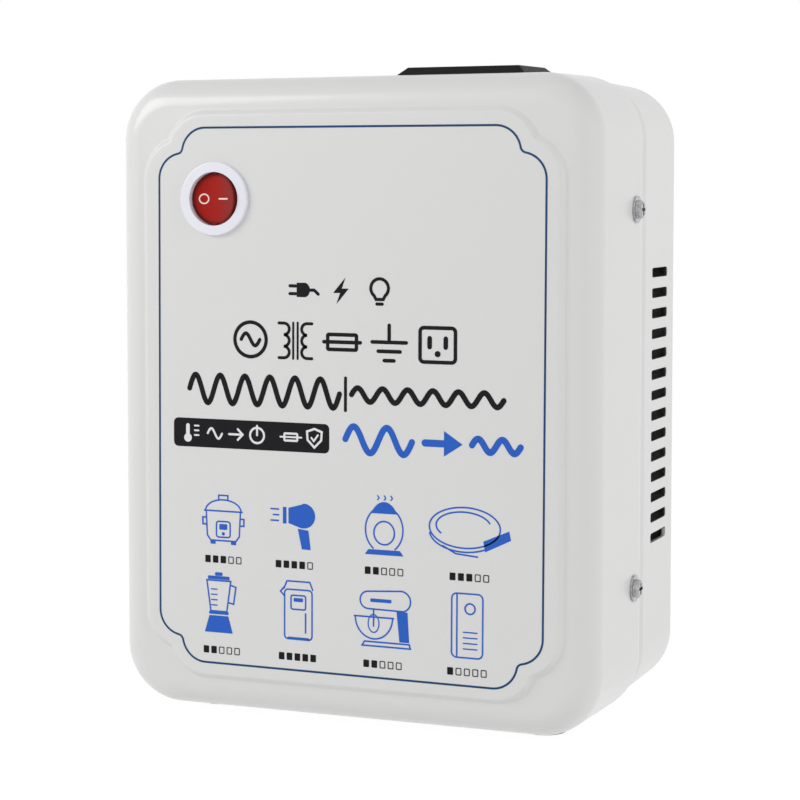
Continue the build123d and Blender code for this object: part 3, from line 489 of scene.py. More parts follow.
SLOT_FINISH: dict[str, Finish] = {
    "case_paint": Finish(
        "case_paint", (0.742, 0.745, 0.736), 0.3, coat=0.25, shade_spread=0.008, shade_mm=60.0,
        rough_spread=0.03, grain_mm=2.2, grain_depth_mm=0.004, relief=Relief.ORANGE_PEEL,
    ),
    # The nickel's strong random colour drift is partly painted reflection: dark and bright patches
    # on the heads.
    "screw_steel": Finish(
        "screw_nickel", (0.42, 0.42, 0.43), 0.16, metallic=1.0, shade_mm=1.0, grain_mm=0.5,
        grain_depth_mm=0.003, shade_spread=0.8,
    ),
    "black_rubber": Finish(
        "foot_rubber", (0.022, 0.022, 0.023), 0.75, shade_mm=4.0, shade_spread=0.2, grain_mm=0.5,
        grain_depth_mm=0.03, specular=0.35,
    ),
    "white_plastic": Finish(
        "bezel_white", (0.85, 0.845, 0.92), 0.3, coat=0.1, subsurface=0.1, shade_spread=0.01,
        shade_mm=8.0, grain_mm=0.8, grain_depth_mm=0.003,
    ),
    "red_plastic": Finish(
        "rocker_red", (0.38, 0.006, 0.002), 0.36, shade_spread=0.12, shade_mm=7.0, grain_mm=1.5,
        grain_depth_mm=0.004, specular=0.15,
    ),
    "black_plastic": Finish(
        "socket_black", (0.008, 0.008, 0.009), 0.5, shade_spread=0.25, shade_mm=6.0,
        grain_mm=0.35, grain_depth_mm=0.02, rough_spread=0.08, specular=0.08,
    ),
    "spring_steel": Finish(
        "spring_steel", (0.6, 0.6, 0.62), 0.28, metallic=1.0, shade_mm=2.0, grain_mm=0.3,
        grain_depth_mm=0.004, relief=Relief.BRUSHED_X,
    ),
    "contact_brass": Finish(
        "contact_brass", (0.76, 0.58, 0.26), 0.24, metallic=1.0, shade_mm=4.0, shade_spread=0.08,
        grain_mm=0.4, grain_depth_mm=0.004, relief=Relief.BRUSHED_Z,
    ),
    "lamp_glass": Finish(
        "lamp_glass", (0.95, 0.62, 0.45), 0.05, transmission=0.9, shade_mm=2.0, rough_spread=0.02,
        grain_mm=1.0, grain_depth_mm=0.002,
    ),
    "core_steel": Finish(
        "core_steel", (0.3, 0.3, 0.32), 0.4, metallic=1.0, shade_mm=5.0, shade_spread=0.1,
        grain_mm=0.4, grain_depth_mm=0.02, relief=Relief.BRUSHED_X,
    ),
    "winding_copper": Finish(
        "winding_copper", (0.62, 0.24, 0.1), 0.25, metallic=1.0, shade_mm=4.0, shade_spread=0.15,
        grain_mm=1.6, grain_depth_mm=0.5, relief=Relief.WOUND,
    ),
    "tape": Finish(
        "tape_black", (0.03, 0.028, 0.025), 0.3, shade_mm=9.0, shade_spread=0.2, grain_mm=12.0,
        grain_depth_mm=0.15, relief=Relief.WOUND,
    ),
    "zinc_steel": Finish(
        "zinc_steel", (0.66, 0.67, 0.66), 0.3, metallic=1.0, shade_mm=5.0, shade_spread=0.1,
        rough_spread=0.1, grain_mm=0.6, grain_depth_mm=0.006,
    ),
    "cutout_plastic": Finish(
        "cutout_dark", (0.05, 0.045, 0.042), 0.45, shade_mm=3.0, shade_spread=0.1, grain_mm=0.4,
        grain_depth_mm=0.01,
    ),
    "block_plastic": Finish(
        "block_natural", (0.72, 0.71, 0.64), 0.4, subsurface=0.15, shade_mm=6.0, shade_spread=0.04,
        grain_mm=0.7, grain_depth_mm=0.01,
    ),
    "lead_black": Finish("lead_black", (0.02, 0.02, 0.02), 0.4, shade_mm=4.0, shade_spread=0.2),
    "lead_white": Finish("lead_white", (0.76, 0.76, 0.74), 0.4, shade_mm=4.0),
    "lead_green": Finish("lead_green", (0.04, 0.26, 0.07), 0.4, shade_mm=4.0, shade_spread=0.08),
    "lead_red": Finish("lead_red", (0.5, 0.03, 0.02), 0.4, shade_mm=4.0, shade_spread=0.08),
}

BLUE_INK = Finish(
    "print_blue", (0.022, 0.12, 0.56), 0.5, shade_spread=0.06, shade_mm=6.0, grain_mm=0.6,
    grain_depth_mm=0.006, specular=0.2,
)
NAVY_INK = Finish(
    "print_navy", (0.013, 0.055, 0.16), 0.5, shade_spread=0.1, shade_mm=6.0, grain_mm=0.6,
    grain_depth_mm=0.006, specular=0.2,
)
BLACK_INK = Finish(
    "print_black", (0.008, 0.008, 0.01), 0.55, shade_spread=0.2, shade_mm=5.0, grain_mm=0.6,
    grain_depth_mm=0.006, specular=0.12,
)
PALE_INK = Finish(
    "print_pale", (0.8, 0.79, 0.8), 0.4, shade_spread=0.02, shade_mm=4.0, grain_mm=0.6,
    grain_depth_mm=0.006,
)
MARK_INK = Finish(
    "rocker_mark", (0.95, 0.74, 0.72), 0.4, shade_spread=0.03, shade_mm=1.5, grain_mm=0.5,
    grain_depth_mm=0.004,
)


class FinishShelf:
    """Builds each material once and hands it out."""

    def __init__(self, winding: Winding) -> None:
        """Starts empty, with the place of the toroid's axis."""
        self.winding = winding
        self.built: dict[str, bpy.types.Material] = {}

    def take(self, finish: Finish) -> bpy.types.Material:
        """Hands out the material of a finish.

        Args:
            finish: The finish.

        Returns:
            Its material.
        """
        if finish.name not in self.built:
            self.built[finish.name] = finish.build(self.winding)
        return self.built[finish.name]


# ---------------------------------------------------------------- places and outlines


@dataclass(frozen=True)
class CasePlace:
    """Where the case stands in the scene.

    Args:
        front_y: The raised field's plane, in metres.
        middle_z: The middle of the case's height, in metres.
    """

    front_y: float
    middle_z: float

    @classmethod
    def read(cls) -> "CasePlace":
        """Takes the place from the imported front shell."""
        low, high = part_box("front_shell")
        return cls(low[1], (low[2] + high[2]) / 2)

    def at(self, x: float, y: float, z: float) -> Vector:
        """A point given in case millimetres."""
        return Vector((x * MM, self.front_y + y * MM, self.middle_z + z * MM))

    def span(self, x: float, y: float, z: float) -> tuple[float, float, float]:
        """The same point as plain numbers."""
        return tuple(self.at(x, y, z))


@dataclass(frozen=True)
class CaseOutline:
    """The two outlines that the pressed front follows: notched field and rounded case.

    Args:
        half_width: Half the case's width at the seam.
        half_height: Half the case's height at the seam.
        corner: The case's corner radius at the seam.
        field_half_width: Half the width of the notched border.
        field_half_height: Half the height of the notched border.
        lobe: The radius of the two lobes in each of its corners.
        notch_round: The radius in the notch between two lobes.
        lobe_steps: Steps along a lobe.
        notch_steps: Steps round a notch.
        side_steps: Steps along a straight side.
    """

    half_width: float = 80.8
    half_height: float = 101.0
    corner: float = 20.0
    field_half_width: float = 64.2
    field_half_height: float = 84.6
    lobe: float = 8.0
    notch_round: float = 2.0
    lobe_steps: int = 12
    notch_steps: int = 8
    side_steps: int = 10

    def notched(self, reach: float) -> list[Point2]:
        """The notched outline.

        Args:
            reach: How far outside the printed border it runs.

        Returns:
            The points, counter-clockwise from the right side's upper end.
        """
        radius = self.lobe + reach
        near = Vector((self.field_half_width - self.lobe, self.field_half_height - 2 * self.lobe))
        far = Vector((self.field_half_width - 2 * self.lobe, self.field_half_height - self.lobe))
        middle = (near + far) / 2
        half_gap = (near - far).length / 2
        lift = math.sqrt((radius + self.notch_round) ** 2 - half_gap**2)
        hub = middle + Vector((1.0, 1.0)).normalized() * lift
        share = radius / (radius + self.notch_round)
        first = near + (hub - near) * share
        last = far + (hub - far) * share
        first_angle = math.atan2(first.y - near.y, first.x - near.x)
        last_angle = math.atan2(last.y - far.y, last.x - far.x)
        in_angle = math.atan2(first.y - hub.y, first.x - hub.x)
        out_angle = math.atan2(last.y - hub.y, last.x - hub.x)
        if in_angle < out_angle:
            in_angle += 2 * math.pi
        corner = arc(near.x, near.y, radius, 0.0, first_angle, self.lobe_steps)
        corner += arc(hub.x, hub.y, self.notch_round, in_angle, out_angle, self.notch_steps)[1:-1]
        corner += arc(far.x, far.y, radius, last_angle, math.pi / 2, self.lobe_steps)
        return self._round_all(corner)

    def rounded(self, offset: float) -> list[Point2]:
        """The case's rounded rectangle, with as many points as the notched outline.

        Args:
            offset: How far outside the case's outline it runs.

        Returns:
            The points.
        """
        radius = self.corner + offset
        x = self.half_width - self.corner
        z = self.half_height - self.corner
        steps = 2 * self.lobe_steps + self.notch_steps
        return self._round_all(arc(x, z, radius, 0.0, math.pi / 2, steps))

    def _round_all(self, corner: list[Point2]) -> list[Point2]:
        """Repeats a corner round the outline and joins it by straight sides.

        Args:
            corner: The upper right corner's points.

        Returns:
            The whole outline's points.
        """
        corners = [
            corner,
            [(-x, z) for x, z in reversed(corner)],
            [(-x, -z) for x, z in corner],
            [(x, -z) for x, z in reversed(corner)],
        ]
        points: list[Point2] = []
        for number, part in enumerate(corners):
            points += part
            start = Vector(part[-1])
            end = Vector(corners[(number + 1) % 4][0])
            for step in range(1, self.side_steps):
                points.append(tuple(start.lerp(end, step / self.side_steps)))
        return points


def arc(x: float, z: float, radius: float, start: float, end: float, steps: int) -> list[Point2]:
    """Points along an arc about a middle, from one angle to another in radians."""
    return oval(x, z, radius, radius, start, end, steps)


def oval(
    x: float, z: float, wide: float, high: float, start: float, end: float, steps: int
) -> list[Point2]:
    """Points along an arc of an upright ellipse, with both its ends."""
    turn = [start + (end - start) * step / steps for step in range(steps + 1)]
    return [(x + wide * math.cos(angle), z + high * math.sin(angle)) for angle in turn]


def loop(x: float, z: float, wide: float, high: float, steps: int) -> list[Point2]:
    """Points round a whole ellipse, with oval's arguments."""
    return oval(x, z, wide, high, 0.0, 2 * math.pi, steps)[:-1]


def new_piece(name: str, mesh: bpy.types.Mesh, material: bpy.types.Material) -> bpy.types.Object:
    """Makes an object of a mesh.

    Args:
        name: The piece's name.
        mesh: Its mesh, already in place.
        material: Its material.

    Returns:
        The linked object.
    """
    mesh.name = name
    mesh.materials.clear()
    mesh.materials.append(material)
    piece = bpy.data.objects.new(name, mesh)
    bpy.context.collection.objects.link(piece)
    return piece


def settle(piece: bpy.types.Object) -> bpy.types.Mesh:
    """The mesh of a piece with its modifiers worked in."""
    graph = bpy.context.evaluated_depsgraph_get()
    return bpy.data.meshes.new_from_object(piece.evaluated_get(graph))


# ---------------------------------------------------------------- front cover


@dataclass(frozen=True)
class FrontCover:
    """The pressed front half of the case.

    Args:
        place: Where the case stands.
        outline: The outlines that it follows.
        wall: The sheet's thickness.
        depth: From the raised field's plane to the seam.
        draft: The slope of the walls, in degrees.
        roll: The radius of the rolled front edge.
        step: How far the field is pressed out.
        step_start: Where the step leaves the field, outside the printed border.
        step_end: Where the step meets the rim.
        step_ease: The share of the step's width that each of its two bends takes.
        field_shift: How far the field lies right of and above the case's middle.
        hem: The round on the seam's edge.
        tuck: How far and over what length the seam's edge is drawn in.
        field_rims: How far inside the step's start the rings of the flat field lie.
        step_rings: Steps across the pressed step.
        roll_rings: Steps round the rolled edge.
        wall_rings: The depths of the rings along the wall.
        switch: The switch's hole: x, z and radius.
        socket: The socket's hole: x, depth, width and length.
        screw_y: The depth of the side screws.
        screw_z: How far above and below the middle they lie.
        screw_radius: The radius of their holes.
        foot: A foot's hole: x, depth and radius.
        drill: The length of a drill, which passes the wall on both sides.
        crease: The angle from which an edge stays sharp, in degrees.
    """

    place: CasePlace
    outline: CaseOutline
    wall: float = 1.2
    depth: float = 49.4
    draft: float = 1.2
    roll: float = 9.0
    step: float = 1.5
    step_start: float = 3.7
    step_end: float = 5.7
    step_ease: float = 0.25
    field_shift: Point2 = (0.39, 0.12)
    hem: float = 0.35
    tuck: tuple[float, float] = (0.45, 3.8)
    field_rims: tuple[float, ...] = (3.0, 1.0)
    step_rings: int = 16
    roll_rings: int = 16
    wall_rings: tuple[float, ...] = (11.5, 16.0, 24.0, 32.0, 40.0, 45.4, 46.2, 47.0, 47.8, 48.5)
    switch: tuple[float, float, float] = (SWITCH_X, SWITCH_Z, 10.0)
    socket: tuple[float, float, float, float] = (33.0, 27.9, 33.4, 25.0)
    screw_y: float = 41.2
    screw_z: float = 59.1
    screw_radius: float = 2.2
    foot: tuple[float, float, float] = (56.0, 28.0, 2.55)
    drill: float = 8.0
    crease: float = 38.0

    def slope(self) -> float:
        """How much a wall leans out for each millimetre back."""
        return math.tan(math.radians(self.draft))

    def field_rings(self, inset: float) -> list[list[Vector]]:
        """The rings of the raised field and its step.

        Args:
            inset: 0 for the outside, or the wall for the inside.

        Returns:
            The rings, from the middle outwards.
        """
        rings = [self._field_ring(self.step_start - rim - inset, inset) for rim in self.field_rims]
        for number in range(self.step_rings + 1):
            share = number / self.step_rings
            reach = self.step_start + (self.step_end - self.step_start) * share
            y = self.step * self.step_share(share)
            rings.append(self._field_ring(reach - inset, y + inset))
        return rings

    def step_share(self, share: float) -> float:
        """The step's profile: two bends with a flank between.

        Args:
            share: The share of the step's width.

        Returns:
            The share of the step's depth.
        """
        ease = self.step_ease
        if share > 0.5:
            return 1 - self.step_share(1 - share)
        if share < ease:
            return share**2 / (2 * ease * (1 - ease))
        return (share - ease / 2) / (1 - ease)

    def drawn_in(self, y: float) -> float:
        """How far the outside is drawn in at a depth near the seam."""
        deep, length = self.tuck
        return deep * max((y - self.depth + length) / length, 0.0) ** 2

    def wall_profile(self, inset: float) -> list[Point2]:
        """The profile of the rolled edge and the wall.

        Args:
            inset: 0 for the outside, or the wall for the inside.

        Returns:
            Offset and depth of each point, from the front to the seam.
        """
        roll = self.roll - inset
        lean = math.radians(self.draft)
        centre_y = self.step + self.roll
        centre = -self.slope() * (self.depth - centre_y) - self.roll / math.cos(lean)
        profile = []
        for number in range(self.roll_rings + 1):
            turn = (math.pi / 2 - lean) * number / self.roll_rings
            profile.append((centre + roll * math.sin(turn), centre_y - roll * math.cos(turn)))
        for y in self.wall_rings:
            tuck = 0.0 if inset else self.drawn_in(y)
            profile.append((-self.slope() * (self.depth - y) - inset - tuck, y))
        return profile

    def build(self, material: bpy.types.Material) -> bpy.types.Object:
        """Builds the cover with its holes.

        Args:
            material: The case's paint.

        Returns:
            The finished piece.
        """
        outside = self.field_rings(0.0) + self._case_rings(self.wall_profile(0.0))
        half = self.hem * (1 - math.sqrt(0.5))
        deep = self.tuck[0]
        edge = [
            (-deep, self.depth - self.hem),
            (-deep - half, self.depth - half),
            (-deep - self.hem, self.depth),
            (-self.wall + self.hem / 2, self.depth),
            (-self.wall, self.depth - self.hem / 2),
        ]
        outside += self._case_rings(edge)
        inside = self.field_rings(self.wall) + self._case_rings(self.wall_profile(self.wall))
        body = skin(outside + inside[::-1])
        blank = new_piece("front_blank", body, material)
        cutter = new_piece("front_cutter", self._cutters(), material)
        cut = blank.modifiers.new("holes", "BOOLEAN")
        cut.operation = "DIFFERENCE"
        cut.solver = "EXACT"
        cut.object = cutter
        mesh = settle(blank)
        for spare in (blank, cutter):
            bpy.data.objects.remove(spare)
        mesh.set_sharp_from_angle(angle=math.radians(self.crease))
        mesh.polygons.foreach_set("use_smooth", [True] * len(mesh.polygons))
        cover = new_piece("front_cover", mesh, material)
        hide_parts("front_shell")
        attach(cover, "case")
        return cover

    def _field_ring(self, reach: float, y: float) -> list[Vector]:
        """A ring of the raised field at one reach and depth, in scene metres."""
        right, up = self.field_shift
        return self._ring([(x + right, z + up) for x, z in self.outline.notched(reach)], y)

    def _case_rings(self, profile: Sequence[Point2]) -> list[list[Vector]]:
        """The rounded rings of a profile of offsets and depths."""
        return [self._ring(self.outline.rounded(offset), y) for offset, y in profile]

    def _ring(self, points: Sequence[Point2], y: float) -> list[Vector]:
        """A ring of points at one depth, in scene metres."""
        return [self.place.at(x, y, z) for x, z in points]

    def _cutters(self) -> bpy.types.Mesh:
        """The solids of every hole.

        Returns:
            Them all in one mesh.
        """
        form = bmesh.new()
        x, z, radius = self.switch
        self._drill(form, self.place.at(x, 0.0, z), Euler((math.pi / 2, 0.0, 0.0)), radius, 96)
        for side in (-1, 1):
            across = self.outline.half_width - self.slope() * (self.depth - self.screw_y)
            for height in (-self.screw_z, self.screw_z):
                spot = self.place.at(side * across, self.screw_y, height)
                turn = Euler((0.0, math.pi / 2, -side * math.radians(self.draft)))
                self._drill(form, spot, turn, self.screw_radius, 48)
            foot_x, foot_y, foot_radius = self.foot
            floor = self.outline.half_height - self.slope() * (self.depth - foot_y)
            spot = self.place.at(side * foot_x, foot_y, -floor)
            self._drill(form, spot, Euler((0.0, 0.0, 0.0)), foot_radius, 48)
        x, y, wide, deep = self.socket
        roof = self.outline.half_height - self.slope() * (self.depth - y)
        turn = Euler((math.radians(self.draft), 0.0, 0.0)).to_matrix().to_4x4()
        grow = Matrix.Diagonal((wide * MM, deep * MM, self.drill * MM, 1.0))
        spot = Matrix.Translation(self.place.at(x, y, roof))
        bmesh.ops.create_cube(form, matrix=spot @ turn @ grow)
        mesh = bpy.data.meshes.new("cutters")
        form.to_mesh(mesh)
        form.free()
        return mesh

    def _drill(
        self, form: bmesh.types.BMesh, spot: Vector, turn: Euler, radius: float, steps: int
    ) -> None:
        """Adds a drill through the wall.

        Args:
            form: The mesh that gets it.
            spot: Where it passes the wall, in metres.
            turn: Its turn from upright.
            radius: Its radius.
            steps: Its sides.
        """
        bmesh.ops.create_cone(
            form,
            cap_ends=True,
            segments=steps,
            radius1=radius * MM,
            radius2=radius * MM,
            depth=self.drill * MM,
            matrix=Matrix.Translation(spot) @ turn.to_matrix().to_4x4(),
        )


def skin(rings: Sequence[Sequence[Vector]]) -> bpy.types.Mesh:
    """Joins rings of equal count by quads and closes both ends.

    Args:
        rings: The rings in order.

    Returns:
        The closed mesh with its normals outwards.
    """
    form = bmesh.new()
    made = [[form.verts.new(point) for point in ring] for ring in rings]
    for one, two in zip(made, made[1:]):
        for number in range(len(one)):
            after = (number + 1) % len(one)
            form.faces.new((one[number], one[after], two[after], two[number]))
    form.faces.new(made[0])
    form.faces.new(made[-1])
    bmesh.ops.recalc_face_normals(form, faces=form.faces)
    mesh = bpy.data.meshes.new("skin")
    form.to_mesh(mesh)
    form.free()
    return mesh


# ---------------------------------------------------------------- prints


class InkSheet:
    """Flat ink shapes gathered into one thin mesh.

    Each shape lies a few thousandths of a millimetre off the last, so that no two that
    cross share a plane. Points are taken from the spot that move sets.
    """

    plies = 7
    ply = 0.004
    cap_steps = 12
    ring_steps = 48
    disc_steps = 36
    tight = 0.35

    def __init__(self, lay: Callable[[float, float, float], Vector]) -> None:
        """Starts an empty sheet.

        Args:
            lay: Turns a point of the print and its lift, in millimetres, into a scene point.
        """
        self.lay = lay
        self.form = bmesh.new()
        self.shapes = 0
        self.spot = (0.0, 0.0)

    def move(self, x: float, z: float) -> None:
        """Moves the spot from which the points are taken."""
        self.spot = (x, z)

    def _next_lift(self) -> float:
        """The lift of the next shape."""
        self.shapes += 1
        return self.shapes % self.plies * self.ply

    def _corner(self, x: float, z: float, lift: float) -> bmesh.types.BMVert:
        """Adds one corner of a shape."""
        return self.form.verts.new(self.lay(self.spot[0] + x, self.spot[1] + z, lift))

    def patch(self, points: Sequence[Point2]) -> None:
        """Fills a closed outline, facing the front.

        Args:
            points: The outline, either way round.
        """
        lift = self._next_lift()
        pairs = zip(points, list(points[1:]) + [points[0]])
        area = sum(x0 * z1 - x1 * z0 for (x0, z0), (x1, z1) in pairs)
        ordered = points if area > 0 else points[::-1]
        self.form.faces.new([self._corner(x, z, lift) for x, z in ordered])

    def stroke(self, points: Sequence[Point2], width: float, closed: bool = False) -> None:
        """Draws a line of even width.

        Args:
            points: The line's middle.
            width: Its width.
            closed: True to join its ends.
        """
        line = [Vector(point) for point in points]
        count = len(line)
        lift = self._next_lift()
        sides = []
        for number, point in enumerate(line):
            before = line[number - 1] if closed or number else point
            after = line[(number + 1) % count] if closed or number < count - 1 else point
            come, go = point - before, after - point
            come = (come if before != point else go).normalized()
            go = go.normalized() if after != point else come
            across = Vector((-(come.y + go.y), come.x + go.x))
            across = across.normalized() if across.length > 1e-6 else Vector((-go.y, go.x))
            spread = width / 2 / max(across.dot(Vector((-go.y, go.x))), self.tight)
            pair = (point + across * spread, point - across * spread)
            sides.append([self._corner(spot.x, spot.y, lift) for spot in pair])
        last = count if closed else count - 1
        for number in range(last):
            one, two = sides[number], sides[(number + 1) % count]
            self.form.faces.new((one[0], one[1], two[1], two[0]))
        if not closed:
            for spot in (line[0], line[-1]):
                self.patch(loop(spot.x, spot.y, width / 2, width / 2, self.cap_steps))

    def rules(
        self, left: float, right: float, top: float, gap: float, count: int, width: float
    ) -> None:
        """Draws level lines below each other.

        Args:
            left: Where they start.
            right: Where they end.
            top: The height of the first.
            gap: How far each lies below the last.
            count: How many there are.
            width: Their width.
        """
        for number in range(count):
            level = top - number * gap
            self.stroke([(left, level), (right, level)], width)

    def ring(self, x: float, z: float, radius: float, width: float) -> None:
        """Draws a circle."""
        self.oval(x, z, radius, radius, width, self.ring_steps)

    def oval(
        self, x: float, z: float, wide: float, high: float, width: float, steps: int
    ) -> None:
        """Draws an upright ellipse, with ring's arguments, two radii and its steps."""
        self.stroke(loop(x, z, wide, high, steps), width, closed=True)

    def disc(self, x: float, z: float, radius: float) -> None:
        """Fills a circle."""
        self.patch(loop(x, z, radius, radius, self.disc_steps))

    def block(self, x: float, z: float, wide: float, high: float, corner: float) -> None:
        """Fills a rounded rectangle about its middle."""
        self.patch(rounded_block(x, z, wide, high, corner))

    def frame(
        self, x: float, z: float, wide: float, high: float, corner: float, width: float
    ) -> None:
        """Draws the edge of a rounded rectangle about its middle."""
        self.stroke(rounded_block(x, z, wide, high, corner), width, closed=True)

    def piece(self, name: str, material: bpy.types.Material, body: str) -> bpy.types.Object:
        """Turns the sheet into a piece.

        Args:
            name: The piece's name.
            material: Its ink.
            body: The CAD body it rides on.

        Returns:
            The piece.
        """
        mesh = bpy.data.meshes.new(name)
        self.form.to_mesh(mesh)
        self.form.free()
        piece = new_piece(name, mesh, material)
        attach(piece, body)
        return piece


def rounded_block(x: float, z: float, wide: float, high: float, corner: float) -> list[Point2]:
    """The outline of a rounded rectangle.

    Args:
        x: Its middle's x.
        z: Its middle's z.
        wide: Its width.
        high: Its height.
        corner: The radius of its corners.

    Returns:
        The points.
    """
    points: list[Point2] = []
    for number, (sx, sz) in enumerate(((1, 1), (-1, 1), (-1, -1), (1, -1))):
        middle_x = x + sx * (wide / 2 - corner)
        middle_z = z + sz * (high / 2 - corner)
        start = number * math.pi / 2
        points += arc(middle_x, middle_z, corner, start, start + math.pi / 2, 5)
    return points


def wave(x0: float, x1: float, size: float, cycles: float) -> list[Point2]:
    """A sine line about the level 0.

    Args:
        x0: Where it starts.
        x1: Where it ends.
        size: Its amplitude.
        cycles: How many cycles it has.

    Returns:
        Its points.
    """
    steps = int(cycles * WAVE_STEPS)
    shares = [step / steps for step in range(steps + 1)]
    turn = 2 * math.pi * cycles
    return [(x0 + (x1 - x0) * share, size * math.sin(turn * share)) for share in shares]


@dataclass(frozen=True)
class FrontPrint:
    """The printed panel: a border, plain electrical signs and appliance pictograms.

    Args:
        place: Where the case stands.
        outline: The outlines of the front.
        shelf: The finishes.
        shift: The middle of the print, right of and above the case's middle.
        turn: How far the print is turned against the clock, in degrees.
        lift: How far the ink stands off the paint.
        border: The border line's width.
        fine: The pictograms' line width.
        thin: The width of their thinnest lines.
        over: How far the bar's signs stand off the bar.
        bar_z: The height of the bar's middle.
    """

    place: CasePlace
    outline: CaseOutline
    shelf: FinishShelf
    shift: Point2 = (0.39, -0.15)
    turn: float = -0.24
    lift: float = 0.05
    border: float = 0.65
    fine: float = 0.5
    thin: float = 0.4
    over: float = 0.04
    bar_z: float = -11.45

    def sheet(self, lift: float = 0.0) -> InkSheet:
        """An empty sheet on the front field.

        Args:
            lift: How far it is raised over the others.

        Returns:
            The sheet.
        """
        cos, sin = math.cos(math.radians(self.turn)), math.sin(math.radians(self.turn))
        x0, z0 = self.shift

        def lay(x: float, z: float, ply: float) -> Vector:
            """The scene point of a point of the print."""
            off = self.lift + lift + ply
            return self.place.at(x0 + x * cos - z * sin, -off, z0 + x * sin + z * cos)

        return InkSheet(lay)

    def _print(self, sheet: InkSheet, name: str, ink: Finish) -> bpy.types.Object:
        """Turns a sheet into a piece on the case."""
        return sheet.piece(name, self.shelf.take(ink), "case")

    def build(self) -> list[bpy.types.Object]:
        """Prints everything.

        Returns:
            The pieces.
        """
        return [
            self.border_line(),
            self.top_signs(),
            self.sign_row(),
            self.wave_strip(),
            self.bar(),
            self.bar_signs(),
            self.step_down(),
            self.pictograms(),
            self.load_marks(),
        ]

    def border_line(self) -> bpy.types.Object:
        """The blue line with notched corners.

        Returns:
            The printed piece.
        """
        sheet = self.sheet()
        sheet.stroke(self.outline.notched(0.0), self.border, closed=True)
        return self._print(sheet, "print_border", NAVY_INK)

    def top_signs(self) -> bpy.types.Object:
        """Three small bold signs in black: a plug, a bolt of current and a lamp.

        Returns:
            The printed piece.
        """
        sheet = self.sheet()
        bold = 1.0
        height = 34.4
        sheet.move(-14.6, height)
        sheet.patch([(-1.9, 2.2), (-1.9, -2.2), *arc(0.2, 0.0, 2.4, -1.2, 1.2, 12)])
        for side in (-1, 1):
            sheet.stroke([(-2.2, side * 1.2), (-4.2, side * 1.2)], bold)
        sheet.stroke([(2.6, 0.0), (4.0, 0.0), (5.4, -1.2)], bold)
        sheet.move(-1.6, height)
        sheet.patch([(1.5, 4.1), (-2.6, -0.7), (-0.2, -0.7)])
        sheet.patch([(-1.5, -4.1), (2.6, 0.7), (0.2, 0.7)])
        sheet.move(11.2, height)
        sheet.stroke(oval(0.0, 1.0, 2.9, 2.9, -0.9, math.pi + 0.9, 30), bold)
        sheet.stroke([(-1.8, -1.3), (-1.2, -2.4), (1.2, -2.4), (1.8, -1.3)], bold)
        sheet.stroke([(-0.9, -3.8), (0.9, -3.8)], bold)
        return self._print(sheet, "print_top_signs", BLACK_INK)

    def sign_row(self) -> bpy.types.Object:
        """Five large plain circuit signs in black.

        Returns:
            The printed piece.
        """
        sheet = self.sheet()
        bold = 1.15
        height = 18.6
        sheet.move(-32.3, height)
        sheet.ring(0.0, 0.0, 5.4, bold)
        sheet.stroke(wave(-3.2, 3.2, 1.9, 1.0), bold)
        sheet.move(-16.9, height)
        for side in (-1, 1):
            coil = [(side * 5.6, 5.4)]
            for level in (1, 0, -1):
                coil += [(side * (3.9 - 1.8 * math.cos(a)), level * 3.6 + 1.8 * math.sin(a))
                         for a in (math.pi * (0.5 - step / 10) for step in range(11))]
            coil += [(side * 5.6, -5.4)]
            sheet.stroke(coil, 0.95)
        for side in (-1, 1):
            sheet.stroke([(side * 0.75, -5.6), (side * 0.75, 5.6)], 0.7)
        sheet.move(-1.2, height)
        sheet.frame(0.0, 0.0, 9.6, 4.6, 0.4, bold)
        sheet.stroke([(-6.1, 0.0), (6.1, 0.0)], bold)
        sheet.move(14.4, height)
        sheet.stroke([(0.0, 5.6), (0.0, 0.6)], bold)
        for half, drop in ((5.6, 0.4), (3.6, -2.4), (1.6, -5.2)):
            sheet.stroke([(-half, drop), (half, drop)], bold)
        sheet.move(30.2, height)
        sheet.frame(0.0, 0.0, 11.4, 10.4, 1.2, bold)
        for side in (-1, 1):
            sheet.stroke([(side * 2.6, 2.0), (side * 2.6, -0.6)], 1.5)
        sheet.disc(0.0, -2.7, 0.95)
        return self._print(sheet, "print_sign_row", BLACK_INK)

    def wave_strip(self) -> bpy.types.Object:
        """A tall wave and a low one, bold, with an upright rule between them.

        Returns:
            The printed piece.
        """
        sheet = self.sheet()
        sheet.move(0.0, 2.6)
        sheet.stroke(wave(-53.6, -2.0, 4.4, 6.0), 1.7)
        sheet.stroke(wave(2.0, 51.4, 2.1, 6.0), 1.7)
        sheet.stroke([(0.0, 5.0), (0.0, -5.0)], 1.0)
        return self._print(sheet, "print_wave_strip", BLACK_INK)

    def bar(self) -> bpy.types.Object:
        """The black bar.

        Returns:
            The printed piece.
        """
        sheet = self.sheet()
        sheet.block(-32.3, self.bar_z, 53.8, 9.1, 1.6)
        return self._print(sheet, "print_bar", BLACK_INK)

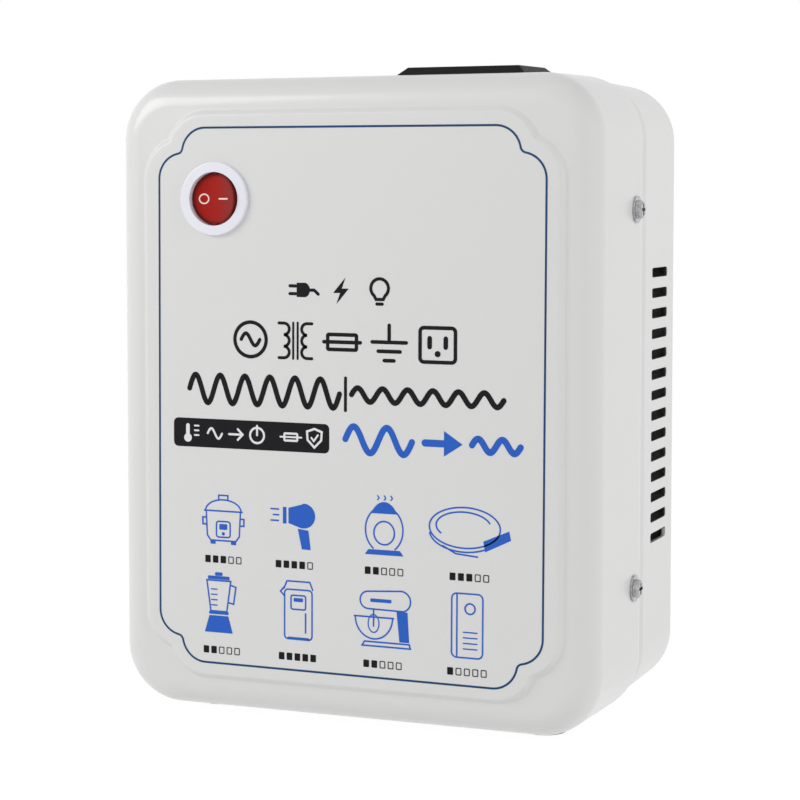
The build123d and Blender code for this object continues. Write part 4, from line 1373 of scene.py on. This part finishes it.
    def bar_signs(self) -> bpy.types.Object:
        """Pale signs on the bar: temperature on the left, protection on the right.

        Returns:
            The printed piece.
        """
        sheet = self.sheet(self.over)
        height = self.bar_z
        thin = 0.7
        sheet.move(-54.2, height)
        sheet.stroke([(0.0, 2.2), (0.0, -1.0)], 1.3)
        sheet.disc(0.0, -1.7, 1.35)
        sheet.rules(2.4, 3.8, 2.2, 1.5, 3, 0.55)
        sheet.move(-44.7, height)
        sheet.stroke(wave(-2.5, 2.5, 1.6, 1.0), thin)
        sheet.move(-37.4, height)
        sheet.stroke([(-2.3, 0.0), (2.3, 0.0)], thin)
        sheet.stroke([(0.7, 1.7), (2.4, 0.0), (0.7, -1.7)], thin)
        sheet.move(-30.0, height)
        sheet.ring(0.0, 0.0, 2.4, thin)
        sheet.stroke([(0.0, 0.1), (0.0, 3.0)], thin)
        sheet.move(-18.4, height)
        sheet.frame(0.0, 0.0, 4.4, 2.2, 0.3, thin)
        sheet.stroke([(-3.6, 0.0), (3.6, 0.0)], 0.55)
        sheet.move(-10.4, height)
        shield = [(0.0, 2.9), (2.5, 2.0), (2.3, -0.6), (0.0, -2.9), (-2.3, -0.6)]
        sheet.stroke(shield + [(-2.5, 2.0)], thin, closed=True)
        sheet.stroke([(-1.0, 0.1), (-0.2, -0.9), (1.2, 1.0)], 0.6)
        return self._print(sheet, "print_bar_signs", PALE_INK)

    def step_down(self) -> bpy.types.Object:
        """A tall wave, an arrow and a low wave, bold and blue.

        Returns:
            The printed piece.
        """
        sheet = self.sheet()
        sheet.move(0.0, -11.2)
        sheet.stroke(wave(0.0, 22.0, 4.0, 2.0), 2.0)
        sheet.stroke([(26.2, 0.0), (33.6, 0.0)], 2.2)
        sheet.patch([(32.4, 3.9), (38.4, 0.0), (32.4, -3.9)])
        sheet.stroke(wave(41.4, 56.8, 2.0, 2.0), 2.0)
        return self._print(sheet, "print_step_down", BLUE_INK)

    def pictograms(self) -> bpy.types.Object:
        """Eight small household appliances in blue line.

        Returns:
            The printed piece.
        """
        sheet = self.sheet()
        for draw, x, z in (
            (self._cooker, -41.8, -38.6),
            (self._dryer, -17.2, -38.8),
            (self._steamer, 13.0, -38.0),
            (self._seat, 40.8, -37.8),
            (self._blender, -43.4, -65.6),
            (self._boiler, -16.1, -65.4),
            (self._mixer, 12.6, -66.6),
            (self._purifier, 40.2, -66.2),
        ):
            sheet.move(x, z)
            draw(sheet)
        return self._print(sheet, "print_pictograms", BLUE_INK)

    def load_marks(self) -> bpy.types.Object:
        """A row of small black blocks under each pictogram, filled up to its load.

        Returns:
            The printed piece.
        """
        sheet = self.sheet()
        rows = (
            (-51.4, ((-41.8, 3), (-17.2, 4), (13.0, 2), (40.8, 3))),
            (-80.4, ((-42.4, 2), (-16.1, 5), (12.6, 2), (40.2, 1))),
        )
        for level, marks in rows:
            for middle, load in marks:
                for number in range(5):
                    sheet.move(middle + (number - 2) * 2.7, level)
                    if number < load:
                        sheet.block(0.0, 0.0, 1.9, 2.3, 0.25)
                    else:
                        sheet.frame(0.0, 0.0, 1.6, 2.0, 0.2, 0.3)
        return self._print(sheet, "print_load_marks", BLACK_INK)

    def _cooker(self, sheet: InkSheet) -> None:
        """A round cooker with a lid.

        Args:
            sheet: The sheet that gets it.
        """
        line = self.fine
        pot = [(-6.0, 2.6), (-5.6, -5.2), (-4.4, -6.8), (4.4, -6.8), (5.6, -5.2), (6.0, 2.6)]
        sheet.stroke(pot, line)
        sheet.stroke([(-6.6, 2.6), (6.6, 2.6)], line)
        sheet.stroke(oval(0.0, 2.6, 6.2, 3.6, 0.0, math.pi, 24), line)
        sheet.stroke([(-1.6, 6.4), (-1.6, 7.6), (1.6, 7.6), (1.6, 6.4)], line)
        for side in (-1, 1):
            grip = [(5.9, 0.4), (7.2, 0.4), (7.2, -1.8), (5.8, -1.8)]
            sheet.stroke([(side * x, z) for x, z in grip], line)
            sheet.block(side * 3.6, -7.5, 1.8, 0.9, 0.2)
        sheet.frame(0.0, -3.2, 4.8, 5.0, 0.8, line)
        sheet.block(0.0, -2.4, 2.8, 1.8, 0.3)
        sheet.disc(0.0, -4.6, 0.55)

    def _dryer(self, sheet: InkSheet) -> None:
        """A hair dryer that blows to the left.

        Args:
            sheet: The sheet that gets it.
        """
        barrel = [(-2.0, 5.2), (2.4, 6.4)]
        barrel += arc(3.2, 2.9, 3.9, math.pi / 2, -math.pi / 2, 16)
        barrel += [(2.4, -1.0), (-2.0, 0.4)]
        sheet.patch(barrel)
        sheet.patch([(-2.7, 5.4), (-3.9, 5.4), (-3.9, 0.2), (-2.7, 0.2)])
        sheet.patch([(1.2, -1.2), (4.8, -1.6), (5.6, -7.6), (2.6, -7.6)])
        for number, reach in enumerate((2.6, 1.8, 2.6)):
            level = 4.6 - number * 1.8
            sheet.stroke([(-5.4, level), (-5.4 - reach, level)], self.fine)

    def _steamer(self, sheet: InkSheet) -> None:
        """A round facial steamer on its dish.

        Args:
            sheet: The sheet that gets it.
        """
        line = self.fine
        sheet.stroke(oval(0.0, -0.6, 6.2, 7.2, -0.95, math.pi + 0.95, 40), line)
        sheet.patch(oval(0.0, 0.4, 5.0, 7.6, 0.55, math.pi - 0.55, 24))
        sheet.oval(0.0, -1.6, 3.4, 3.6, line, 36)
        sheet.patch([(-5.2, -6.8), (5.2, -6.8), (6.4, -8.4), (-6.4, -8.4)])
        for side in (-1, 0, 1):
            x = side * 2.2
            sheet.stroke([(x, 8.6), (x + 0.5, 9.2), (x, 9.9)], self.thin)

    def _seat(self, sheet: InkSheet) -> None:
        """A warm seat lid with its control box.

        Args:
            sheet: The sheet that gets it.
        """
        line = self.fine
        sheet.oval(-1.6, 1.4, 11.4, 6.2, line, 48)
        sheet.stroke(oval(-2.0, 1.9, 8.8, 4.3, 0.3, math.pi + 0.6, 30), line)
        sheet.stroke(oval(-1.6, 0.2, 11.4, 6.2, math.pi + 0.15, 1.78 * math.pi, 30), line)
        sheet.patch([(4.4, -2.4), (12.6, 1.2), (13.2, -1.6), (5.0, -5.6)])
        sheet.stroke([(-8.6, -4.4), (-4.4, -6.6), (2.6, -7.2)], line)

    def _blender(self, sheet: InkSheet) -> None:
        """A jug blender on a filled base.

        Args:
            sheet: The sheet that gets it.
        """
        line = self.fine
        sheet.patch([(-3.3, -3.8), (3.3, -3.8), (4.9, -9.2), (-4.9, -9.2)])
        sheet.stroke([(-3.0, -2.9), (3.0, -2.9)], 1.0)
        sheet.stroke([(-2.8, -2.4), (-4.2, 7.4), (4.2, 7.4), (2.8, -2.4)], line, closed=True)
        sheet.block(0.0, 8.3, 7.6, 1.1, 0.3)
        sheet.block(0.0, 9.5, 2.6, 1.1, 0.3)
        sheet.stroke([(4.1, 6.2), (6.0, 5.6), (5.2, 0.2), (3.3, 0.6)], line)
        sheet.rules(-2.6, -0.6, 4.6, 1.7, 4, self.thin)

    def _boiler(self, sheet: InkSheet) -> None:
        """A tall water boiler with a spout.

        Args:
            sheet: The sheet that gets it.
        """
        line = self.fine
        sheet.frame(0.3, -1.6, 9.4, 15.6, 1.2, line)
        sheet.stroke([(-4.6, 6.4), (-3.6, 8.8), (4.2, 8.8), (5.2, 6.4)], line)
        sheet.stroke([(-4.6, 6.8), (-5.8, 5.4), (-4.6, 4.2)], line)
        sheet.frame(0.3, 2.2, 5.0, 4.4, 0.6, line)
        sheet.block(0.3, 3.0, 3.2, 1.2, 0.2)
        sheet.stroke([(2.8, -1.2), (2.8, -7.2)], line)
        sheet.stroke([(-3.0, -9.2), (3.6, -9.2)], 0.9)

    def _mixer(self, sheet: InkSheet) -> None:
        """A stand mixer over its bowl.

        Args:
            sheet: The sheet that gets it.
        """
        line = self.fine
        head = arc(-4.8, 6.0, 2.7, math.pi / 2, 1.5 * math.pi, 12)
        head += [(3.0, 3.2)]
        head += arc(6.0, 6.2, 3.2, -0.4 * math.pi, math.pi / 2, 12)
        sheet.stroke(head, line, closed=True)
        sheet.block(-0.6, 6.0, 7.0, 1.1, 0.3)
        sheet.patch([(4.6, 2.9), (8.2, 3.0), (8.8, -6.4), (5.6, -6.4)])
        sheet.stroke([(-6.8, -8.2), (9.2, -8.2), (8.8, -6.9), (-6.0, -6.9)], line, closed=True)
        sheet.stroke([(-9.4, 0.8), (3.6, 0.8)], line)
        sheet.stroke(oval(-2.9, 0.8, 6.2, 6.8, math.pi, 2 * math.pi, 24), line)
        sheet.stroke([(-3.0, 3.1), (-3.0, -2.0)], line)
        sheet.oval(-3.0, -1.2, 1.8, 2.8, self.thin, 20)

    def _purifier(self, sheet: InkSheet) -> None:
        """A slim upright air cleaner.

        Args:
            sheet: The sheet that gets it.
        """
        line = self.fine
        sheet.frame(0.0, 0.0, 10.0, 19.6, 1.6, line)
        sheet.stroke([(-3.3, 9.6), (-3.3, -9.6)], line)
        sheet.ring(0.9, 5.2, 1.6, line)
        sheet.rules(-1.2, 3.2, -2.0, 1.7, 4, self.thin)


@dataclass(frozen=True)
class RockerMarks:
    """The off and on marks on the rocker's dished face.

    Args:
        place: Where the case stands.
        shelf: The finishes.
        pivot: The rocker's axis: x, depth and height.
        dish: How far the middle of the face lies in front of the axis.
        face_radius: The radius of the face's hollow.
        tilt: How far the rocker is turned at rest, in degrees.
        lift: How far a mark stands off its face.
    """

    place: CasePlace
    shelf: FinishShelf
    pivot: tuple[float, float, float] = (SWITCH_X, 0.8, SWITCH_Z)
    dish: float = 0.389
    face_radius: float = 23.39
    tilt: float = 10.0
    lift: float = 0.04

    def lay(self, along: float, z: float, ply: float) -> Vector:
        """A point on the rocker's face.

        Args:
            along: The distance from the axis across the rocker, left negative.
            z: The height over the rocker's middle.
            ply: The shape's own small lift.

        Returns:
            The scene point, just off the face.
        """
        x0, y0, z0 = self.pivot
        reach = self.face_radius - self.lift - ply
        angle = math.asin(along / self.face_radius)
        across = reach * math.sin(angle)
        out = reach * math.cos(angle) - self.dish - self.face_radius
        turn = math.radians(self.tilt)
        x = x0 + across * math.cos(turn) + out * math.sin(turn)
        y = y0 - across * math.sin(turn) + out * math.cos(turn)
        return self.place.at(x, y, z0 + z)

    def build(self) -> bpy.types.Object:
        """Prints the off mark's oval and the on mark's bar.

        Returns:
            The marks as one piece.
        """
        sheet = InkSheet(self.lay)
        sheet.oval(-4.15, 0.0, 1.6, 1.45, 0.45, 48)
        sheet.stroke([(1.5 + 0.38 * step, 0.0) for step in range(10)], 0.48)
        return sheet.piece("rocker_marks", self.shelf.take(MARK_INK), "switch_rocker")


# ---------------------------------------------------------------- carried-over nodes


class Edge(Enum):
    """How a carried-over node's edges are eased, in millimetres."""

    FINE = 0.12
    SOFT = 0.3


@dataclass(frozen=True)
class NodeDresser:
    """Gives each CAD node its finish and eases its edges.

    Args:
        shelf: The finishes.
        place: Where the case stands.
        edges: The easing of nodes by name.
        usual: The easing of every other node.
        slot_painted_shade: The colour inside the side slots, a painted shade on their cut walls.
        seam_painted_shade: The colour along the seam, a painted shade band.
        rocker_painted_reflection: The rocker's colour on its right side, a painted reflection.
        rocker_painted_rim_shade: The rocker's colour at its rim, a painted shade.
        slots: The lowest and the highest corner of the side slots' box.
        slot_fade: How far the slots' painted shade fades.
        seam: The lowest and the highest corner of the seam's box.
        seam_fade: How far the seam's painted shade fades.
        painted_reflection_fade: Where the rocker's painted reflection starts and is full, from its
            middle.
        painted_rim_shade_fade: The radii where the rocker's painted rim shade starts and is full.
        weld_gap: The gap below which points are joined.
        flat_angle: The angle below which the rear shell's facets are joined, in degrees.
        crease: The angle from which an edge is eased, in degrees.
    """

    shelf: FinishShelf
    place: CasePlace
    edges: dict[str, Edge] = field(
        default_factory=lambda: {
            "rear_shell": Edge.SOFT,
            "outlet_housing": Edge.SOFT,
            "switch_housing": Edge.FINE,
            "switch_rocker": Edge.SOFT,
            "breaker_housing": Edge.SOFT,
            "gland_dome_nut": Edge.SOFT,
            "gland_body": Edge.SOFT,
        }
    )
    usual: Edge = Edge.FINE
    # Painted shade: near black inside the side slots, on their cut walls.
    slot_painted_shade: Colour = (0.05, 0.05, 0.05)
    # Painted shade: a slightly darker band on the rear shell just behind the seam.
    seam_painted_shade: Colour = (0.69, 0.693, 0.684)
    # Painted reflection: the rocker's red turns paler and duller on its right side.
    rocker_painted_reflection: Colour = (0.27, 0.02, 0.017)
    # Painted shade: the rocker's red darkens towards its rim.
    rocker_painted_rim_shade: Colour = (0.14, 0.004, 0.003)
    slots: Corners = ((77.0, 63.7, -46.0), (79.5, 82.9, 46.0))
    slot_fade: float = 0.12
    seam: Corners = ((74.0, 48.8, -102.0), (84.0, 56.2, 102.0))
    seam_fade: float = 1.2
    painted_reflection_fade: Point2 = (-1.0, 6.0)
    painted_rim_shade_fade: Point2 = (6.7, 7.8)
    weld_gap: float = 0.002
    flat_angle: float = 0.5
    crease: float = 40.0

    def dress_all(self, record: dict) -> int:
        """Dresses every node.

        Args:
            record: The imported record.

        Returns:
            How many nodes were dressed.
        """
        slots = {part["node"]: part["material_slot"] for part in record["subparts"]}
        for name, node in frame["nodes"].items():
            finish = SLOT_FINISH[slots[name]]
            # The rear shell gets painted shade; the rocker gets a painted reflection and painted
            # shade.
            if name == "rear_shell":
                finish = self.case_paint_with_painted_shade(finish)
            elif name == "switch_rocker":
                finish = self.rocker_red_with_painted_light(finish)
            self.dress(name, node, finish)
        return len(frame["nodes"])

    def case_paint_with_painted_shade(self, finish: Finish) -> Finish:
        """The case's paint with painted shade inside the slots and along the seam.

        Args:
            finish: The case's paint.

        Returns:
            The paint for the rear shell.
        """
        # Painted shade: the seam's darker band and the slots' dark inside, laid over the paint as
        # colours.
        tinges = []
        for colour, box, fade in (
            (self.seam_painted_shade, self.seam, self.seam_fade),
            (self.slot_painted_shade, self.slots, self.slot_fade),
        ):
            low, high = (self.place.span(*corner) for corner in box)
            tinges.append(BoxTinge(colour, low, high, fade * MM))
        return replace(finish, name="case_paint_rear", tinges=tuple(tinges))

    def rocker_red_with_painted_light(self, finish: Finish) -> Finish:
        """The rocker's red, duller on the right by a painted reflection and darker towards the rim
        by painted shade.

        Args:
            finish: The rocker's red.

        Returns:
            The red for the rocker.
        """
        x, _, z = self.place.span(SWITCH_X, 0.0, SWITCH_Z)
        # Painted reflection: a paler, duller red towards the rocker's right side.
        side = SideTinge(self.rocker_painted_reflection, *(x + reach * MM for reach in self.painted_reflection_fade))
        # Painted shade: darker towards the rocker's rim.
        rim = RimTinge(self.rocker_painted_rim_shade, (x, z), *(reach * MM for reach in self.painted_rim_shade_fade))
        return replace(finish, tinges=(side, rim))

    def dress(self, name: str, node: bpy.types.Object, finish: Finish) -> None:
        """Gives one node its finish.

        Args:
            name: The node's name.
            node: Its object.
            finish: Its finish.
        """
        material = self.shelf.take(finish)
        if not node.material_slots:
            node.data.materials.append(material)
        for slot in node.material_slots:
            slot.material = material
        weld = node.modifiers.new("weld", "WELD")
        weld.merge_threshold = self.weld_gap * MM
        if name == "rear_shell":
            flat = node.modifiers.new("flat", "DECIMATE")
            flat.decimate_type = "DISSOLVE"
            flat.angle_limit = math.radians(self.flat_angle)
        bevel = node.modifiers.new("edges", "BEVEL")
        bevel.width = self.edges.get(name, self.usual).value * MM
        bevel.segments = 2
        bevel.limit_method = "ANGLE"
        bevel.angle_limit = math.radians(self.crease)
        bevel.harden_normals = True
        weight = node.modifiers.new("normals", "WEIGHTED_NORMAL")
        weight.keep_sharp = True


# ---------------------------------------------------------------- studio


def grey(tone: float) -> tuple[float, float, float, float]:
    """A grey of a tone, with alpha."""
    return (tone, tone, tone, 1.0)


@dataclass(frozen=True)
class SoftBox:
    """A large soft lamp.

    Args:
        name: The lamp's name.
        spot: Where it hangs, in metres.
        aim: What it faces, in metres.
        size: Its width and height, in metres.
        power: Its power in watts.
        mirrored: True where glossy surfaces reflect it.
    """

    name: str
    spot: tuple[float, float, float]
    aim: tuple[float, float, float]
    size: tuple[float, float]
    power: float
    mirrored: bool = True

    def hang(self) -> None:
        """Hangs the lamp."""
        lamp = bpy.data.lights.new(self.name, "AREA")
        lamp.shape = "RECTANGLE"
        lamp.size, lamp.size_y = self.size
        lamp.energy = self.power
        holder = bpy.data.objects.new(self.name, lamp)
        holder.location = self.spot
        facing = Vector(self.aim) - Vector(self.spot)
        holder.rotation_euler = facing.to_track_quat("-Z", "Y").to_euler()
        holder.visible_glossy = self.mirrored
        bpy.context.collection.objects.link(holder)


@dataclass(frozen=True)
class Studio:
    """The pale floor, the soft light and the camera.

    Args:
        lamps: The soft boxes.
        sky: The light from above, from the sides and from below.
        floor_radius: The floor's radius, in metres.
        floor_tone: The floor's tone.
        floor_lift: The share of the floor that gives off white light of its own.
        floor_glow: The share of the floor that shows as plain white to the camera.
        floor_white: The strength of that white.
        eye: The camera's place, in metres.
        nod: How far it looks down, in degrees.
        swing: How far it stands round to the right, in degrees.
        lens: The focal length.
        sensor: The sensor's width.
        shift: The lens shift.
        clip: The nearest and the farthest distance that is seen, in metres.
    """

    lamps: tuple[SoftBox, ...] = (
        SoftBox("lamp_front_left", (-0.755, -0.705, 0.604), (0.0, 0.0, 0.1), (0.75, 0.55), 5.1),
        SoftBox("lamp_right", (1.38, -0.24, 0.35), (0.0, 0.0, 0.1), (0.8, 1.0), 6.0, False),
    )
    sky: tuple[float, float, float] = (0.44, 0.58, 0.45)
    floor_radius: float = 6.0
    floor_tone: float = 0.86
    floor_lift: float = 0.24
    floor_glow: float = 0.92
    floor_white: float = 1.05
    eye: tuple[float, float, float] = (0.2650, -0.67285, 0.16588)
    nod: float = 3.554
    swing: float = 22.120
    lens: float = 98.94
    sensor: float = 36.0
    shift: Point2 = (0.01925, -0.0811)
    clip: Point2 = (0.01, 50.0)

    def build(self) -> None:
        """Sets up everything."""
        self.set_sky()
        self.lay_floor()
        for lamp in self.lamps:
            lamp.hang()
        self.set_camera()
        bpy.context.scene.view_settings.view_transform = "Standard"

    def see_white(self, desk: NodeDesk) -> bpy.types.NodeSocket:
        """Tells which rays see plain white.

        Args:
            desk: The desk of the tree that asks.

        Returns:
            1 for rays from the camera, off gloss or through glass, else 0.
        """
        path = desk.add("ShaderNodeLightPath")
        near = desk.math("MAXIMUM", path.outputs["Is Camera Ray"], path.outputs["Is Glossy Ray"])
        return desk.math("MAXIMUM", near, path.outputs["Is Transmission Ray"])

    def set_sky(self) -> None:
        """Lights the room softly, and shows white behind the object."""
        world = bpy.data.worlds.new("studio")
        bpy.context.scene.world = world
        world.use_nodes = True
        desk = NodeDesk(world.node_tree)
        height = desk.axes(desk.add("ShaderNodeTexCoord").outputs["Generated"])[2]
        ramp = desk.add("ShaderNodeValToRGB")
        rise = desk.math("MULTIPLY_ADD", height, 0.5)
        rise.node.inputs[2].default_value = 0.5
        desk.join(rise, ramp.inputs[0])
        up, side, down = self.sky
        stops = ramp.color_ramp.elements
        stops[0].color = grey(down)
        stops[1].color = grey(up)
        stops.new(0.5).color = grey(side)
        soft = desk.add("ShaderNodeBackground")
        desk.join(ramp.outputs[0], soft.inputs[0])
        white = desk.add("ShaderNodeBackground", Strength=1.0)
        white.inputs[0].default_value = grey(1.0)
        mix = desk.add("ShaderNodeMixShader")
        desk.join(self.see_white(desk), mix.inputs[0])
        desk.join(soft.outputs[0], mix.inputs[1])
        desk.join(white.outputs[0], mix.inputs[2])
        desk.finish("ShaderNodeOutputWorld", mix.outputs[0])

    def lay_floor(self) -> None:
        """Lays a wide pale floor under the feet."""
        form = bmesh.new()
        bmesh.ops.create_circle(form, cap_ends=True, segments=96, radius=self.floor_radius)
        mesh = bpy.data.meshes.new("floor")
        form.to_mesh(mesh)
        form.free()
        material = bpy.data.materials.new("floor_pale")
        material.use_nodes = True
        desk = NodeDesk(material.node_tree)
        matt = desk.add("ShaderNodeBsdfDiffuse")
        patches = desk.noise(desk.add("ShaderNodeTexCoord").outputs["Object"], 3.0, 2.0)
        tones = (grey(self.floor_tone * 0.99), grey(self.floor_tone))
        desk.join(desk.mix(patches, *tones), matt.inputs["Color"])
        glow = desk.add("ShaderNodeEmission", Strength=self.floor_white)
        blend = desk.add("ShaderNodeMixShader")
        share = desk.math("MULTIPLY", self.see_white(desk), self.floor_glow)
        desk.join(desk.math("MAXIMUM", share, self.floor_lift), blend.inputs[0])
        desk.join(matt.outputs[0], blend.inputs[1])
        desk.join(glow.outputs[0], blend.inputs[2])
        desk.finish("ShaderNodeOutputMaterial", blend.outputs[0])
        floor = new_piece("floor", mesh, material)

    def set_camera(self) -> None:
        """Places the camera as the photograph's."""
        camera = bpy.data.cameras.new("camera")
        camera.sensor_width = self.sensor
        camera.sensor_fit = "HORIZONTAL"
        camera.lens = self.lens
        camera.shift_x, camera.shift_y = self.shift
        camera.clip_start, camera.clip_end = self.clip
        holder = bpy.data.objects.new("camera", camera)
        holder.location = self.eye
        holder.rotation_euler = (math.radians(90 - self.nod), 0.0, math.radians(self.swing))
        bpy.context.collection.objects.link(holder)
        bpy.context.scene.camera = holder


def main() -> None:
    """Builds the scene in order and reports each piece."""
    logging.basicConfig(level=logging.INFO, format="%(name)s: %(message)s")
    low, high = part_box("toroid_tape")
    shelf = FinishShelf(Winding((low[2] + high[2]) / 2))
    place = CasePlace.read()
    Studio().build()
    LOG.info("studio set")
    LOG.info("%d nodes dressed", NodeDresser(shelf, place).dress_all(frame["record"]))
    cover_outline = CaseOutline(field_half_width=64.6)
    cover = FrontCover(place, cover_outline).build(shelf.take(SLOT_FINISH["case_paint"]))
    LOG.info("%s: %d faces", cover.name, len(cover.data.polygons))
    for piece in FrontPrint(place, CaseOutline(), shelf).build():
        LOG.info("%s: %d faces", piece.name, len(piece.data.polygons))
    marks = RockerMarks(place, shelf).build()
    LOG.info("%s: %d faces", marks.name, len(marks.data.polygons))


if __name__ == "__main__":
    main()
